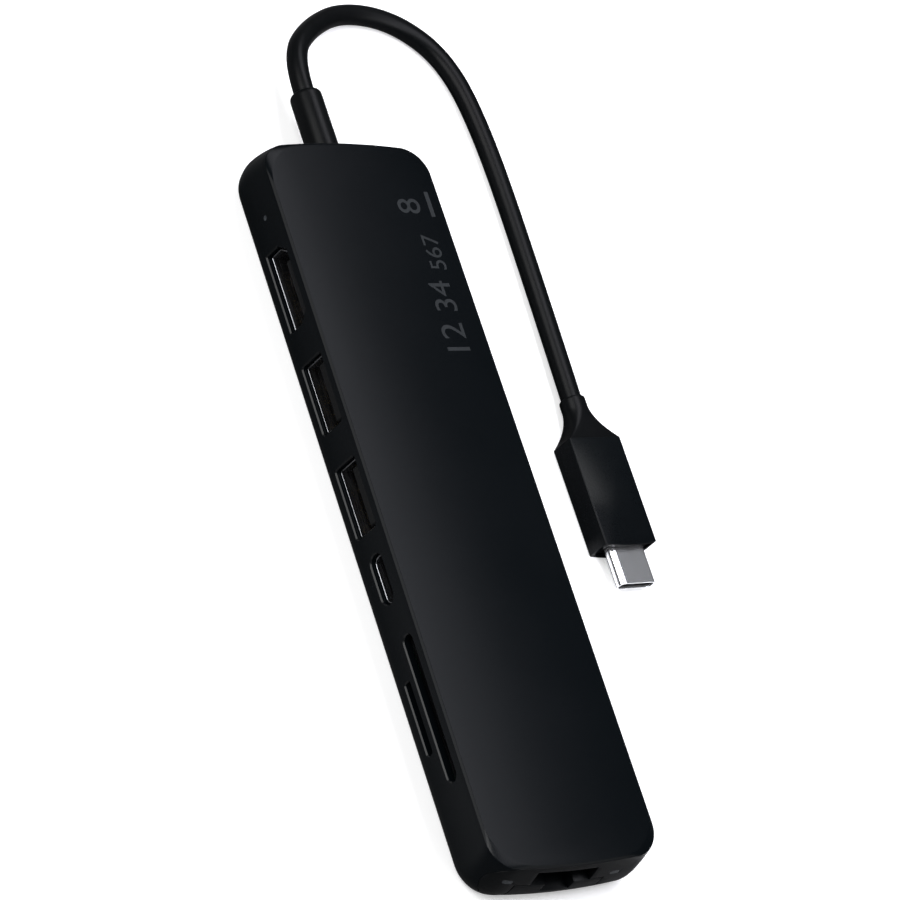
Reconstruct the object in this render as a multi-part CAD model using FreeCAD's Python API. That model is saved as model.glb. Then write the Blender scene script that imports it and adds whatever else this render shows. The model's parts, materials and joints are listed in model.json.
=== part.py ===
"""Slim multiport hub: an aluminium sleeve with sockets along one long side, a drop-jaw
Ethernet socket at one end and a short captive lead with a plug at the other.

Millimetres. X runs along the hub to the Ethernet end, -Y is the socket side and +Z is up.
The origin is the middle of the underside.
"""
import FreeCAD, Part
import math
import os
from FreeCAD import Vector

os.makedirs("parts", exist_ok=True)

# ---------------------------------------------------------------- housing
LENGTH = 143.0            # overall, at the middle of the bowed ends
WIDTH = 36.0
HEIGHT = 11.0
CORNER_R = 5.6            # plan corners of the sides
TOP_CORNER_R = 8.5        # plan corners of the flat top face
END_BOW = 1.2             # how far each end bulges beyond its corners
END_BULGE_Z = 3.8         # height at which the ends reach furthest out
END_SHOULDER_Z = 7.4      # and at this height they lean in by the next value
END_SHOULDER_INSET = 0.49
TOP_END_INSET = 1.9       # the top face stops this far short of each end
BAND_END_INSET = 1.4     # the ends lean in by this much below the top chamfer band
BOTTOM_END_INSET = 1.6
EDGE_CHAMFER = 0.4        # chamfer along the long top edges
BOTTOM_ROUND = 1.3        # rounding along the long bottom edges
WALL_SIDE = 1.5
WALL_FLAT = 0.9
CAVITY_R = 3.2
SEAM = 0.08               # open line between an end cap and the housing
FIT = 0.12                # clearance of a piece that slides into the cavity
JAW_SLOT_RISE = 0.5       # how far the sleeve's slot for the jaw is cut above its inner floor

# ---------------------------------------------------------------- end caps
CAP_SEAT_DEPTH = 5.5      # the pill-shaped seat in each end of the sleeve
CAP_SEAT_SIDE = 1.0       # rim left beside the seat
CAP_SEAT_FLAT = 0.3       # rim left above and below the seat
CAP_PLUG_DEPTH = 16.3     # how far the Ethernet cap reaches into the cavity
CABLE_CAP_DEPTH = 10.0
CAP_WALL = 3.7            # front wall of the Ethernet cap
CABLE_CAP_WALL = 5.0
CABLE_CAP_RIM = 0.6

# ---------------------------------------------------------------- circuit board and tray
BOARD_BOTTOM = 2.0
BOARD_THICKNESS = 1.0
BOARD_CORNER_R = 1.0
BOARD_END_GAPS = (10.3, 16.7)     # from the hub's cable end and Ethernet end
BOARD_SIDE_GAPS = (3.4, 3.1)      # from the socket side and the plain side
TRAY_END_GAPS = (2.2, 4.3)        # the tray stops this far short of the board's ends
TRAY_SIDE_GAP = 1.0
TRAY_FLOOR = 0.5
TRAY_LIFT = 0.1           # the tray floor's clearance over the cavity floor
SCREW_FROM_CABLE_END = ((3.7, 4.4), (30.7, 3.4))      # along the board, in from its plain side
SCREW_FROM_ETHERNET_END = ((32.1, 26.4), (8.3, 3.1))
SCREW_SHANK_R = 0.85
SCREW_HEAD_R = 1.7
SCREW_HEAD_H = 0.9
SCREW_SLOT = 0.4          # drive hole's radius as a share of the head's
BOSS_R = 2.1

# ---------------------------------------------------------------- sockets on the long side
SOCKET_RECESS = 0.9       # socket mouths sit this far behind the side wall's face
CUT_CLEAR = 0.15          # between a socket shell and the edge of its cut-out
CUT_PAST_WALL = 1.6       # cut-outs run on past the inner face to clear the cavity's corners
SHELL_WALL = 0.3
HDMI_X = -43.2
HDMI_SIZE = (15.0, 5.55)
HDMI_SHOULDER = (1.8, 2.33)   # how far the sloping shoulders reach in and down
HDMI_DEPTH = 11.5
HDMI_BACK = 3.0
HDMI_TONGUE = (11.0, 1.5)
HDMI_TONGUE_SET = 1.2     # the tongue's tip sits this far behind the shell's mouth
HDMI_CONTACT_COUNT = 10
HDMI_CONTACT_PITCH = 1.0
HDMI_CONTACT = (0.35, 0.12)
USB_A_X = (-22.0, -1.8)
USB_A_SIZE = (13.1, 5.8)
USB_A_CORNER_R = 0.5
USB_A_DEPTH = 13.5
USB_A_BACK = 3.2
USB_A_TONGUE = (11.1, 1.84)
USB_A_TONGUE_SET = 1.0
USB_A_TONGUE_GAP = 0.75   # between the tongue and the upper wall of the shell
USB_A_CONTACTS = (-3.5, -1.0, 1.0, 3.5)
USB_A_CONTACT = (1.0, 0.15)
USB_C_X = 13.7
USB_C_SIZE = (8.94, 3.16)
USB_C_DEPTH = 7.6
USB_C_BACK = 1.5
USB_C_TONGUE = (6.69, 0.7)
USB_C_TONGUE_SET = 1.3
CONTACT_SET = 0.6         # contacts start this far behind the tip of their tongue
TONGUE_R = 0.2
SD_X = 38.4
SD_Z = 7.5
SD_CUT = (26.9, 2.6)
SD_CAGE = (28.2, 2.8)
SD_DEPTH = 22.0
SD_CONTACTS = (9, 2.5)    # count and pitch
MICROSD_X = 38.75
MICROSD_CUT = (13.3, 1.5)
MICROSD_CAGE = (14.4, 1.5)
MICROSD_DEPTH = 14.0
MICROSD_CONTACTS = (8, 1.1)
CAGE_WALL = 0.2
CAGE_CORNER_R = 0.1
CAGE_LEG = (0.8, 1.0)
CAGE_FRONT_GAP = 0.2      # behind the inner face of the side wall
CAGE_BACK = 1.5
CARD_SPRING_W = 0.7
CARD_SPRING_RISE = 0.3
CARD_SPRING_T = 0.2
STATUS_LIGHT_X = -57.1
STATUS_LIGHT_Z = 6.0
STATUS_LIGHT_R = 0.5
STATUS_LIGHT_SET = 0.05   # the guide's tip sits this far behind the side's face

# ---------------------------------------------------------------- Ethernet socket and its jaw
ETHERNET_Y = -2.0
ETHERNET_TOP = 9.6        # roof of the socket
MOUTH_WIDTH = 12.8
JAW_TOP = 6.2             # top of the closed jaw's lip
JAW_WIDTH = 18.8
JAW_GAP = 0.2             # running gap round the jaw
JAW_FLOOR = 1.0
JAW_LIP_BACK = 3.9        # from the hub's end to the back of the jaw's lip
JAW_CHEEK = 2.8           # thickness of each of the jaw's two cheeks
LATCH_WIDTH = 6.2
LATCH_BOTTOM = 4.1
HINGE_BACK = 14.3         # from the hub's end to the hinge line
HINGE_Z = 2.0
HINGE_BARREL_R = 2.0
BARREL_ROOM = 0.4         # between the barrel and the jack above it
PIN_R = 0.5
PIN_CLEAR = 0.05
PIN_GRIP = 2.2            # how deep each end of the pin sits in the cap
SPRING_WIRE_R = 0.12
SPRING_CLEAR = 0.02
SPRING_PITCH = 0.5
SPRING_LENGTH = 6.0
JACK_BACK = 3.5           # the jack's back stands this far behind the hinge line
JACK_HOLLOW_BACK = 0.2
JACK_SIDE_GAP = 0.2
CONTACT_PITCH = 1.02
CONTACT_COUNT = 8
CONTACT_WIRE = (0.4, 0.2)
CONTACT_REACH = 9.0       # how far a contact wire runs forward of the hollow's back
CONTACT_DIP = 2.25        # how far its free end springs down from the roof
LIGHT_OFFSET = 11.4       # the two lights' distance from the middle of the socket
LIGHT_Z = 7.2
LIGHT_SIZE = (2.0, 0.9)
LIGHT_FOOT_SET = 0.1      # the guide's foot stands this far forward of the jack's back
LIGHT_CHIP = (1.6, 0.7)   # width and height

# ---------------------------------------------------------------- chips and small parts
CHIPS = {
    # name: x, y, width, depth, height
    "hub_chip": (8.0, 4.0, 9.0, 9.0, 0.9),
    "display_chip": (-17.0, 6.0, 8.0, 8.0, 0.8),
    "ethernet_chip": (27.0, 11.0, 6.0, 6.0, 0.8),
    "card_reader_chip": (19.5, -4.5, 5.0, 5.0, 0.8),
    "power_chip": (-40.0, 3.0, 5.0, 5.0, 0.8),
    "ethernet_magnetics": (38.5, 10.4, 12.0, 8.0, 4.2),
}
SHIELD_MARGIN = 2.0       # from the chip's edge to the shield can's
SHIELD_HEIGHT = 2.0
SHIELD_WALL = 0.2
INDUCTOR = (4.0, 4.0, 2.6)
INDUCTORS = ((-47.0, 10.0), (-40.0, 10.0))
CRYSTAL = (3.2, 2.5, 0.8)
CRYSTALS = ((17.0, 3.0), (-7.0, 5.0), (20.5, 12.5))
CAPACITOR = (1.6, 2.8, 1.4)
CAPACITORS = ((-32.0, 2.0), (-29.0, 2.0), (-26.0, 2.0), (-7.0, 10.0), (-3.5, 10.0), (0.0, 10.0),
              (17.0, 7.5), (20.0, 7.5), (-50.5, 10.5), (-50.5, 7.0))

# ---------------------------------------------------------------- lead, strain relief and plug
CORD_R = 1.95
CORD_INSIDE = 19.5        # from the hub's cable end to where the jacket stops
RELIEF_R = 3.0
RELIEF_LENGTH = 12.0
RELIEF_TIP_ROUND = 0.7
RELIEF_COLLAR_STEP = 0.8
RELIEF_COLLAR = 1.8
CLAMP_FROM_END = (13.5, 17.5)
CLAMP_SIDE = 3.45         # from the cord's side to the clamp's
CLAMP_OVER = 0.75         # from the cord's top to the clamp's
CLAMP_CORNER_R = 0.8
CLAMP_SCREW_SIDE = 1.65   # from the cord's side to the clamp screws' middle
CLAMP_SCREW = (0.7, 1.25, 0.8)    # shank radius, head radius, head height
LEAD_COUNT = 5
LEAD_R = 0.3
LEAD_PITCH = 0.7
LEAD_SPREAD = 2.0         # the leads' pitch on the board against their pitch in the jacket
LEAD_REACH = 3.5
LEAD_PAD_GAP = 0.45
PLUG_Y = 39.5
PLUG_Z = 2.75
PLUG_BODY_X = (-12.2, 9.5)
PLUG_SIZE = (11.9, 5.4)
PLUG_WALL = 0.8
PLUG_EDGE_R = 0.4
PLUG_HOLLOW_R = 0.3
PLUG_BOOT_LENGTH = 9.0
PLUG_COLLAR_R = 2.45
PLUG_COLLAR_LENGTH = 2.0
BOOT_STEPS = 6
PLUG_FRONT_SET = 0.4      # the front insert sits this far behind the body's end
PLUG_FRONT_DEPTH = 3.1
PLUG_SHELL_SIZE = (8.34, 2.56)
PLUG_SHELL_OUT = 6.9
PLUG_SHELL_IN = 4.5
PLUG_SHELL_WALL = 0.3
PLUG_LINER_SET = 0.3      # the liner stops this far behind the shell's end
PLUG_SLOT_DEPTH = 5.5
PLUG_SLOT_CLEAR = 0.1
PLUG_BOARD_T = 0.8
PLUG_BOARD_GAP = 0.2

# ---------------------------------------------------------------- places that follow
PAST = 1.0                # how far a cutting tool runs on past what it cuts
HALF_L = LENGTH / 2
HALF_W = WIDTH / 2
CAP_SEAT_WIDTH = WIDTH - 2 * CAP_SEAT_SIDE
CAP_SEAT_HEIGHT = HEIGHT - 2 * CAP_SEAT_FLAT
BOARD_TOP = BOARD_BOTTOM + BOARD_THICKNESS
BOARD_X = (-HALF_L + BOARD_END_GAPS[0], HALF_L - BOARD_END_GAPS[1])
BOARD_Y = (-HALF_W + BOARD_SIDE_GAPS[0], HALF_W - BOARD_SIDE_GAPS[1])
SCREW_PLACES = [(BOARD_X[0] + x, BOARD_Y[1] - y) for x, y in SCREW_FROM_CABLE_END]
SCREW_PLACES += [(BOARD_X[1] - x, BOARD_Y[1] - y) for x, y in SCREW_FROM_ETHERNET_END]
CAVITY_Y = (-HALF_W + WALL_SIDE, HALF_W - WALL_SIDE)
CAVITY_Z = (WALL_FLAT, HEIGHT - WALL_FLAT)
MOUTH_Y = -HALF_W + SOCKET_RECESS
SOCKET_Z = BOARD_TOP + USB_A_SIZE[1] / 2      # the USB-A shells stand on the board
MICROSD_Z = BOARD_TOP + MICROSD_CAGE[1] / 2
HINGE_X = HALF_L - HINGE_BACK
JACK_BACK_X = HINGE_X - JACK_BACK
JACK_HOLLOW_X = HINGE_X - JACK_HOLLOW_BACK
LIGHT_FOOT_X = JACK_BACK_X + LIGHT_FOOT_SET
CAP_WALL_X = HALF_L - CAP_WALL
RELIEF_Z = HEIGHT / 2
RELIEF_TIP = -HALF_L - RELIEF_LENGTH
RELIEF_COLLAR_X = -HALF_L + CABLE_CAP_WALL
CORD_INNER_X = -HALF_L + CORD_INSIDE
CLAMP_X = (-HALF_L + CLAMP_FROM_END[0], -HALF_L + CLAMP_FROM_END[1])
CORD_LIE_Z = CORD_R + 0.05

# The lead leaves the strain relief, turns back in one open loop and lies beside the hub.
CORD_ROUTE = (
    (RELIEF_TIP, 0.0, RELIEF_Z),
    (-91.6, 0.0, RELIEF_Z),
    (-99.0, 7.2, 3.9),
    (-104.1, 17.6, 2.2),
    (-102.4, 29.5, CORD_LIE_Z),
    (-94.2, 38.4, CORD_LIE_Z),
    (-78.5, 41.2, CORD_LIE_Z),
    (-49.7, 40.9, 2.15),
    (PLUG_BODY_X[0] - PLUG_BOOT_LENGTH, PLUG_Y, PLUG_Z),
)

AXES = {
    "x": lambda u, v, w: Vector(w, u, v),
    "y": lambda u, v, w: Vector(u, w, v),
    "z": lambda u, v, w: Vector(u, v, w),
}


# ---------------------------------------------------------------- helpers
LEAST_FLAT = 0.02         # half of the shortest straight side left on a fully rounded section


def box(x, y, z):
    """Box between (low, high) pairs."""
    return Part.makeBox(x[1] - x[0], y[1] - y[0], z[1] - z[0], Vector(x[0], y[0], z[0]))


def around(middle, size):
    """(low, high) pair of a size centred on a point."""
    return (middle - size / 2, middle + size / 2)


def grown(pair, margin):
    return (pair[0] - margin, pair[1] + margin)


def rounded_wire(axis, u, v, w, r):
    """Rectangle with rounded corners in the plane at w across an axis."""
    at = AXES[axis]
    r = min(r, (u[1] - u[0]) / 2 - LEAST_FLAT, (v[1] - v[0]) / 2 - LEAST_FLAT)
    k = r * (1 - math.sqrt(0.5))
    edges = []
    for start, stop, turn, end in (
        ((u[0] + r, v[0]), (u[1] - r, v[0]), (u[1] - k, v[0] + k), (u[1], v[0] + r)),
        ((u[1], v[0] + r), (u[1], v[1] - r), (u[1] - k, v[1] - k), (u[1] - r, v[1])),
        ((u[1] - r, v[1]), (u[0] + r, v[1]), (u[0] + k, v[1] - k), (u[0], v[1] - r)),
        ((u[0], v[1] - r), (u[0], v[0] + r), (u[0] + k, v[0] + k), (u[0] + r, v[0])),
    ):
        edges.append(Part.makeLine(at(*start, w), at(*stop, w)))
        edges.append(Part.Arc(at(*stop, w), at(*turn, w), at(*end, w)).toShape())
    return Part.Wire(edges)


def bar(axis, u, v, w, r):
    """Bar along an axis from w[0] to w[1] with a rounded rectangular section."""
    face = Part.Face(rounded_wire(axis, u, v, w[0], r))
    return face.extrude(AXES[axis](0, 0, w[1] - w[0]))


def prism(axis, points, w):
    """Polygon section extruded along an axis."""
    at = AXES[axis]
    corners = [at(u, v, w[0]) for u, v in points]
    return Part.Face(Part.makePolygon(corners + corners[:1])).extrude(at(0, 0, w[1] - w[0]))


def rod(axis, u, v, w, r):
    """Round rod along an axis from w[0] to w[1]."""
    at = AXES[axis]
    return Part.makeCylinder(r, w[1] - w[0], at(u, v, w[0]), at(0, 0, 1))


def cut(shape, *tools):
    for tool in tools:
        shape = shape.cut(tool)
    return shape


def fuse(shape, *others):
    for other in others:
        shape = shape.fuse(other)
    return shape.removeSplitter()


def save(name, *shapes):
    """Write one node; a group of separate solids becomes a compound."""
    shape = shapes[0] if len(shapes) == 1 else Part.makeCompound(list(shapes))
    solids = shape.Solids
    valid = all(solid.isValid() for solid in solids)
    print(f"{name:26s} solids {len(solids):3d}  volume {shape.Volume:9.2f}  valid {valid}")
    shape.exportStep(f"parts/{name}.step")


# ---------------------------------------------------------------- outer form of the hub
def plan_outline(z, end_inset, side_inset, corner_r):
    """Plan outline at one height: straight sides, round corners and gently bowed ends."""
    half_w = HALF_W - side_inset
    half_l = HALF_L - end_inset
    bow_r = (END_BOW ** 2 + half_w ** 2) / (2 * END_BOW)
    bow_x = half_l - bow_r
    corner_y = half_w - corner_r
    corner_x = bow_x + math.sqrt((bow_r - corner_r) ** 2 - corner_y ** 2)
    join = math.atan2(corner_y, corner_x - bow_x)
    middle = (join + math.pi / 2) / 2
    meet = (bow_x + bow_r * math.cos(join), bow_r * math.sin(join))
    knee = (corner_x + corner_r * math.cos(middle), corner_y + corner_r * math.sin(middle))

    def at(x, y):
        return Vector(x, y, z)

    def arc(a, b, c):
        return Part.Arc(at(*a), at(*b), at(*c)).toShape()

    edges = [
        Part.makeLine(at(-corner_x, -half_w), at(corner_x, -half_w)),
        arc((corner_x, -half_w), (knee[0], -knee[1]), (meet[0], -meet[1])),
        arc((meet[0], -meet[1]), (half_l, 0), meet),
        arc(meet, knee, (corner_x, half_w)),
        Part.makeLine(at(corner_x, half_w), at(-corner_x, half_w)),
        arc((-corner_x, half_w), (-knee[0], knee[1]), (-meet[0], meet[1])),
        arc((-meet[0], meet[1]), (-half_l, 0), (-meet[0], -meet[1])),
        arc((-meet[0], -meet[1]), (-knee[0], -knee[1]), (-corner_x, -half_w)),
    ]
    return Part.Wire(edges)


def outer_form():
    """Solid outer form: ends bulge at half height, long sides stay flat and upright."""
    band_z = HEIGHT - EDGE_CHAMFER
    sides = Part.makeLoft([
        plan_outline(0, BOTTOM_END_INSET, 0, CORNER_R),
        plan_outline(END_BULGE_Z, 0, 0, CORNER_R),
        plan_outline(END_SHOULDER_Z, END_SHOULDER_INSET, 0, CORNER_R),
        plan_outline(band_z, BAND_END_INSET, 0, CORNER_R),
    ], True, False)
    band = Part.makeLoft([
        plan_outline(band_z, BAND_END_INSET, 0, CORNER_R),
        plan_outline(HEIGHT, TOP_END_INSET, EDGE_CHAMFER, TOP_CORNER_R),
    ], True, True)
    span = (-HALF_L - PAST, HALF_L + PAST)
    section = bar("x", (-HALF_W, HALF_W), (0, HEIGHT + 2 * BOTTOM_ROUND), span, BOTTOM_ROUND)
    return sides.fuse(band).common(section)


def cavity(w, clearance):
    return bar("x", grown(CAVITY_Y, -clearance), grown(CAVITY_Z, -clearance), w,
               CAVITY_R - clearance)


def cap_seat(w, clearance):
    """Pill-shaped seat of an end cap."""
    width = CAP_SEAT_WIDTH - 2 * clearance
    height = CAP_SEAT_HEIGHT - 2 * clearance
    return bar("x", around(0, width), around(HEIGHT / 2, height), w, height / 2)


# ---------------------------------------------------------------- socket sections
def hdmi_points(size):
    """HDMI outline: full width below, shoulders sloping in towards the top face."""
    half = size[0] / 2
    low, high = around(SOCKET_Z, size[1])
    shoulder = high - HDMI_SHOULDER[1]
    top_half = half - HDMI_SHOULDER[0]
    return [(HDMI_X - half, low), (HDMI_X + half, low), (HDMI_X + half, shoulder),
            (HDMI_X + top_half, high), (HDMI_X - top_half, high), (HDMI_X - half, shoulder)]


def inner(size, wall):
    return (size[0] - 2 * wall, size[1] - 2 * wall)


def rect_bar(x, z, size, w, r):
    """Bar along Y with a section of the given size centred on (x, z)."""
    return bar("y", around(x, size[0]), around(z, size[1]), w, r)


def socket_cutouts():
    """Everything milled through the socket side of the sleeve."""
    through = (-HALF_W - PAST, CAVITY_Y[0] + CUT_PAST_WALL)
    margin = -CUT_CLEAR
    tools = [prism("y", hdmi_points(inner(HDMI_SIZE, margin)), through)]
    for x in USB_A_X:
        tools.append(rect_bar(x, SOCKET_Z, inner(USB_A_SIZE, margin), through,
                              USB_A_CORNER_R))
    usb_c = inner(USB_C_SIZE, margin)
    tools.append(rect_bar(USB_C_X, SOCKET_Z, usb_c, through, usb_c[1] / 2))
    wall_only = (-HALF_W - PAST, CAVITY_Y[0] + CAGE_FRONT_GAP / 2)
    tools.append(rect_bar(SD_X, SD_Z, SD_CUT, wall_only, SD_CUT[1] / 2))
    tools.append(rect_bar(SD_X, SD_Z, inner(SD_CAGE, margin), (CAVITY_Y[0], 0),
                          CAGE_CORNER_R))
    tools.append(rect_bar(MICROSD_X, MICROSD_Z, MICROSD_CUT, wall_only, MICROSD_CUT[1] / 3))
    tools.append(rod("y", STATUS_LIGHT_X, STATUS_LIGHT_Z, wall_only, STATUS_LIGHT_R))
    return tools


# ---------------------------------------------------------------- housing pieces
def housing_sleeve(form):
    beyond = HALF_L + PAST
    seat_x = HALF_L - CAP_SEAT_DEPTH
    jaw_slot = box((HINGE_X - HINGE_BARREL_R - JAW_GAP, beyond),
                   around(ETHERNET_Y, JAW_WIDTH + 2 * JAW_GAP), (-PAST, CAVITY_Z[0] + JAW_SLOT_RISE))
    tools = [cavity((-beyond, beyond), 0), cap_seat((seat_x, beyond), 0),
             cap_seat((-beyond, -seat_x), 0), jaw_slot]
    return cut(form, *tools, *socket_cutouts())


def light_pipe_bar(side, margin):
    """One of the two light guides beside the Ethernet socket, before it is trimmed flush."""
    y = around(ETHERNET_Y + side * LIGHT_OFFSET, LIGHT_SIZE[0] + 2 * margin)
    z = around(LIGHT_Z, LIGHT_SIZE[1] + 2 * margin)
    return box((LIGHT_FOOT_X, HALF_L + PAST), y, z)


def ethernet_end_cap(form):
    """Cap with two inner cheeks that carry the jaw's hinge pin and the light guides."""
    seat_x = HALF_L - CAP_SEAT_DEPTH
    inner_x = HALF_L - CAP_PLUG_DEPTH
    jaw_y = around(ETHERNET_Y, JAW_WIDTH + 2 * JAW_GAP)
    flange = cap_seat((seat_x + SEAM, HALF_L + PAST), SEAM)
    body = fuse(flange, cavity((inner_x, seat_x + PAST), FIT)).common(form)
    bay = box((inner_x - PAST, CAP_WALL_X), jaw_y, (-PAST, HEIGHT + PAST))
    bay = bay.cut(box((seat_x + SEAM, CAP_WALL_X), jaw_y, (CAVITY_Z[1], HEIGHT)))
    front = (CAP_WALL_X - PAST, HALF_L + PAST)
    mouth = box(front, around(ETHERNET_Y, MOUTH_WIDTH), (JAW_TOP, ETHERNET_TOP))
    jaw_room = box(front, jaw_y, (-PAST, JAW_TOP + JAW_GAP))
    pin_hole = rod("y", HINGE_X, HINGE_Z, grown(jaw_y, PIN_GRIP), PIN_R)
    lights = [light_pipe_bar(side, 0) for side in (-1, 1)]
    return cut(body, bay, mouth, jaw_room, pin_hole, *lights)


def cable_end_cap(form):
    seat_x = -HALF_L + CAP_SEAT_DEPTH
    inner_x = -HALF_L + CABLE_CAP_DEPTH
    flange = cap_seat((-HALF_L - PAST, seat_x - SEAM), SEAM)
    body = fuse(flange, cavity((seat_x - PAST, inner_x), FIT)).common(form)
    pocket = bar("x", grown(CAVITY_Y, -FIT - CABLE_CAP_RIM), grown(CAVITY_Z, -FIT - CABLE_CAP_RIM),
                 (RELIEF_COLLAR_X, inner_x + PAST), CAVITY_R - CABLE_CAP_RIM)
    hole = rod("x", 0, RELIEF_Z, (-HALF_L - PAST, inner_x), RELIEF_R)
    return cut(body, pocket, hole)


# ---------------------------------------------------------------- board, tray and screws
def screw_holes(r, z):
    return [rod("z", x, y, z, r) for x, y in SCREW_PLACES]


def board_tray():
    floor_z = (CAVITY_Z[0] + TRAY_LIFT, CAVITY_Z[0] + TRAY_LIFT + TRAY_FLOOR)
    x = (BOARD_X[0] + TRAY_END_GAPS[0], BOARD_X[1] - TRAY_END_GAPS[1])
    tray = box(x, grown(BOARD_Y, -TRAY_SIDE_GAP), floor_z)
    bosses = screw_holes(BOSS_R, (floor_z[0], BOARD_BOTTOM))
    return cut(fuse(tray, *bosses), *screw_holes(SCREW_SHANK_R, (0, BOARD_TOP)))


def main_board():
    board = bar("z", BOARD_X, BOARD_Y, (BOARD_BOTTOM, BOARD_TOP), BOARD_CORNER_R)
    return cut(board, *screw_holes(SCREW_SHANK_R, (0, HEIGHT)))


def screw(x, y, z_head, depth, shank_r, head_r, head_h):
    shank = rod("z", x, y, (z_head - depth, z_head + head_h / 2), shank_r)
    head = rod("z", x, y, (z_head, z_head + head_h), head_r)
    slot = rod("z", x, y, (z_head + head_h / 2, z_head + head_h + PAST), head_r * SCREW_SLOT)
    return cut(fuse(shank, head), slot)


def board_screws():
    depth = BOARD_TOP - CAVITY_Z[0] - TRAY_LIFT
    return [screw(x, y, BOARD_TOP, depth, SCREW_SHANK_R, SCREW_HEAD_R, SCREW_HEAD_H)
            for x, y in SCREW_PLACES]


# ---------------------------------------------------------------- sockets
def hdmi_socket():
    span = (MOUTH_Y, MOUTH_Y + HDMI_DEPTH)
    hollow = inner(HDMI_SIZE, SHELL_WALL)
    shell = prism("y", hdmi_points(HDMI_SIZE), span).cut(
        prism("y", hdmi_points(hollow), grown(span, PAST)))
    back = prism("y", hdmi_points(hollow), (span[1] - HDMI_BACK, span[1]))
    tongue_y = (span[0] + HDMI_TONGUE_SET, span[1] - HDMI_BACK / 2)
    tongue = rect_bar(HDMI_X, SOCKET_Z, HDMI_TONGUE, tongue_y, TONGUE_R)
    width, thickness = HDMI_CONTACT
    contact_y = (tongue_y[0] + CONTACT_SET, span[1] - HDMI_BACK)
    contacts = []
    for i in range(HDMI_CONTACT_COUNT):
        x = HDMI_X + (i - (HDMI_CONTACT_COUNT - 1) / 2) * HDMI_CONTACT_PITCH
        for side in (-1, 1):
            z = SOCKET_Z + side * (HDMI_TONGUE[1] + thickness) / 2
            contacts.append(box(around(x, width), contact_y, around(z, thickness)))
    return shell, fuse(back, tongue), contacts


def usb_a_socket(x):
    span = (MOUTH_Y, MOUTH_Y + USB_A_DEPTH)
    hollow = inner(USB_A_SIZE, SHELL_WALL)
    inner_r = USB_A_CORNER_R - SHELL_WALL + TONGUE_R / 4
    shell = rect_bar(x, SOCKET_Z, USB_A_SIZE, span, USB_A_CORNER_R).cut(
        rect_bar(x, SOCKET_Z, hollow, grown(span, PAST), inner_r))
    back = rect_bar(x, SOCKET_Z, hollow, (span[1] - USB_A_BACK, span[1]), inner_r)
    tongue_top = SOCKET_Z + hollow[1] / 2 - USB_A_TONGUE_GAP
    tongue_y = (span[0] + USB_A_TONGUE_SET, span[1] - USB_A_BACK / 2)
    tongue = rect_bar(x, tongue_top - USB_A_TONGUE[1] / 2, USB_A_TONGUE, tongue_y, TONGUE_R)
    width, thickness = USB_A_CONTACT
    contact_z = tongue_top - USB_A_TONGUE[1]
    contacts = []
    for offset in USB_A_CONTACTS:
        contacts.append(box(around(x + offset, width),
                            (tongue_y[0] + CONTACT_SET, span[1] - USB_A_BACK),
                            (contact_z - thickness, contact_z)))
    return shell, fuse(back, tongue), contacts


def usb_c_socket():
    span = (MOUTH_Y, MOUTH_Y + USB_C_DEPTH)
    hollow = inner(USB_C_SIZE, SHELL_WALL)
    shell = rect_bar(USB_C_X, SOCKET_Z, USB_C_SIZE, span, USB_C_SIZE[1] / 2).cut(
        rect_bar(USB_C_X, SOCKET_Z, hollow, grown(span, PAST), hollow[1] / 2))
    back = rect_bar(USB_C_X, SOCKET_Z, hollow, (span[1] - USB_C_BACK, span[1]), hollow[1] / 2)
    tongue = rect_bar(USB_C_X, SOCKET_Z, USB_C_TONGUE,
                      (span[0] + USB_C_TONGUE_SET, span[1] - USB_C_BACK / 2), TONGUE_R)
    riser = box(around(USB_C_X, USB_C_SIZE[0]), (BOARD_Y[0], span[1]),
                (BOARD_TOP, SOCKET_Z - USB_C_SIZE[1] / 2))
    return shell, fuse(back, tongue), riser


def card_cage(x, z, size, depth, legs):
    """Sheet-metal card cage, open to the slot; a cage above the board stands on four legs."""
    front = CAVITY_Y[0] + CAGE_FRONT_GAP
    span = (front, front + depth)
    cage = rect_bar(x, z, size, span, CAGE_CORNER_R).cut(
        rect_bar(x, z, inner(size, CAGE_WALL), grown(span, PAST), CAGE_CORNER_R))
    low = z - size[1] / 2
    leg_w, leg_d = CAGE_LEG
    if legs:
        for side in (-1, 1):
            for y in (BOARD_Y[0] + leg_d, span[1] - leg_d):
                leg_x = x + side * (size[0] - leg_w) / 2
                leg = box(around(leg_x, leg_w), around(y, leg_d), (BOARD_TOP, low + CAGE_WALL / 2))
                cage = cage.fuse(leg)
    return cage.removeSplitter(), span


def card_contacts(x, z, size, span, count, pitch):
    """Row of spring contacts that start from the plastic back of a cage."""
    hollow = inner(size, CAGE_WALL)
    back = (span[1] - CAGE_BACK, span[1])
    base = rect_bar(x, z, hollow, back, CAGE_CORNER_R)
    low = z - hollow[1] / 2
    root = back[0] + CARD_SPRING_T / 2
    crest = root - 3 * CAGE_BACK + 2 * CAGE_BACK / 3
    tip = root - 5 * CAGE_BACK + 2 * CAGE_BACK
    springs = []
    for i in range(count):
        at_x = x + (i - (count - 1) / 2) * pitch
        points = ((root, low), (root, low + CARD_SPRING_T),
                  (crest, low + CARD_SPRING_T + CARD_SPRING_RISE), (tip, low + CARD_SPRING_T),
                  (tip, low))
        springs.append(prism("x", points, around(at_x, CARD_SPRING_W)))
    return fuse(base, *springs)


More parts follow.
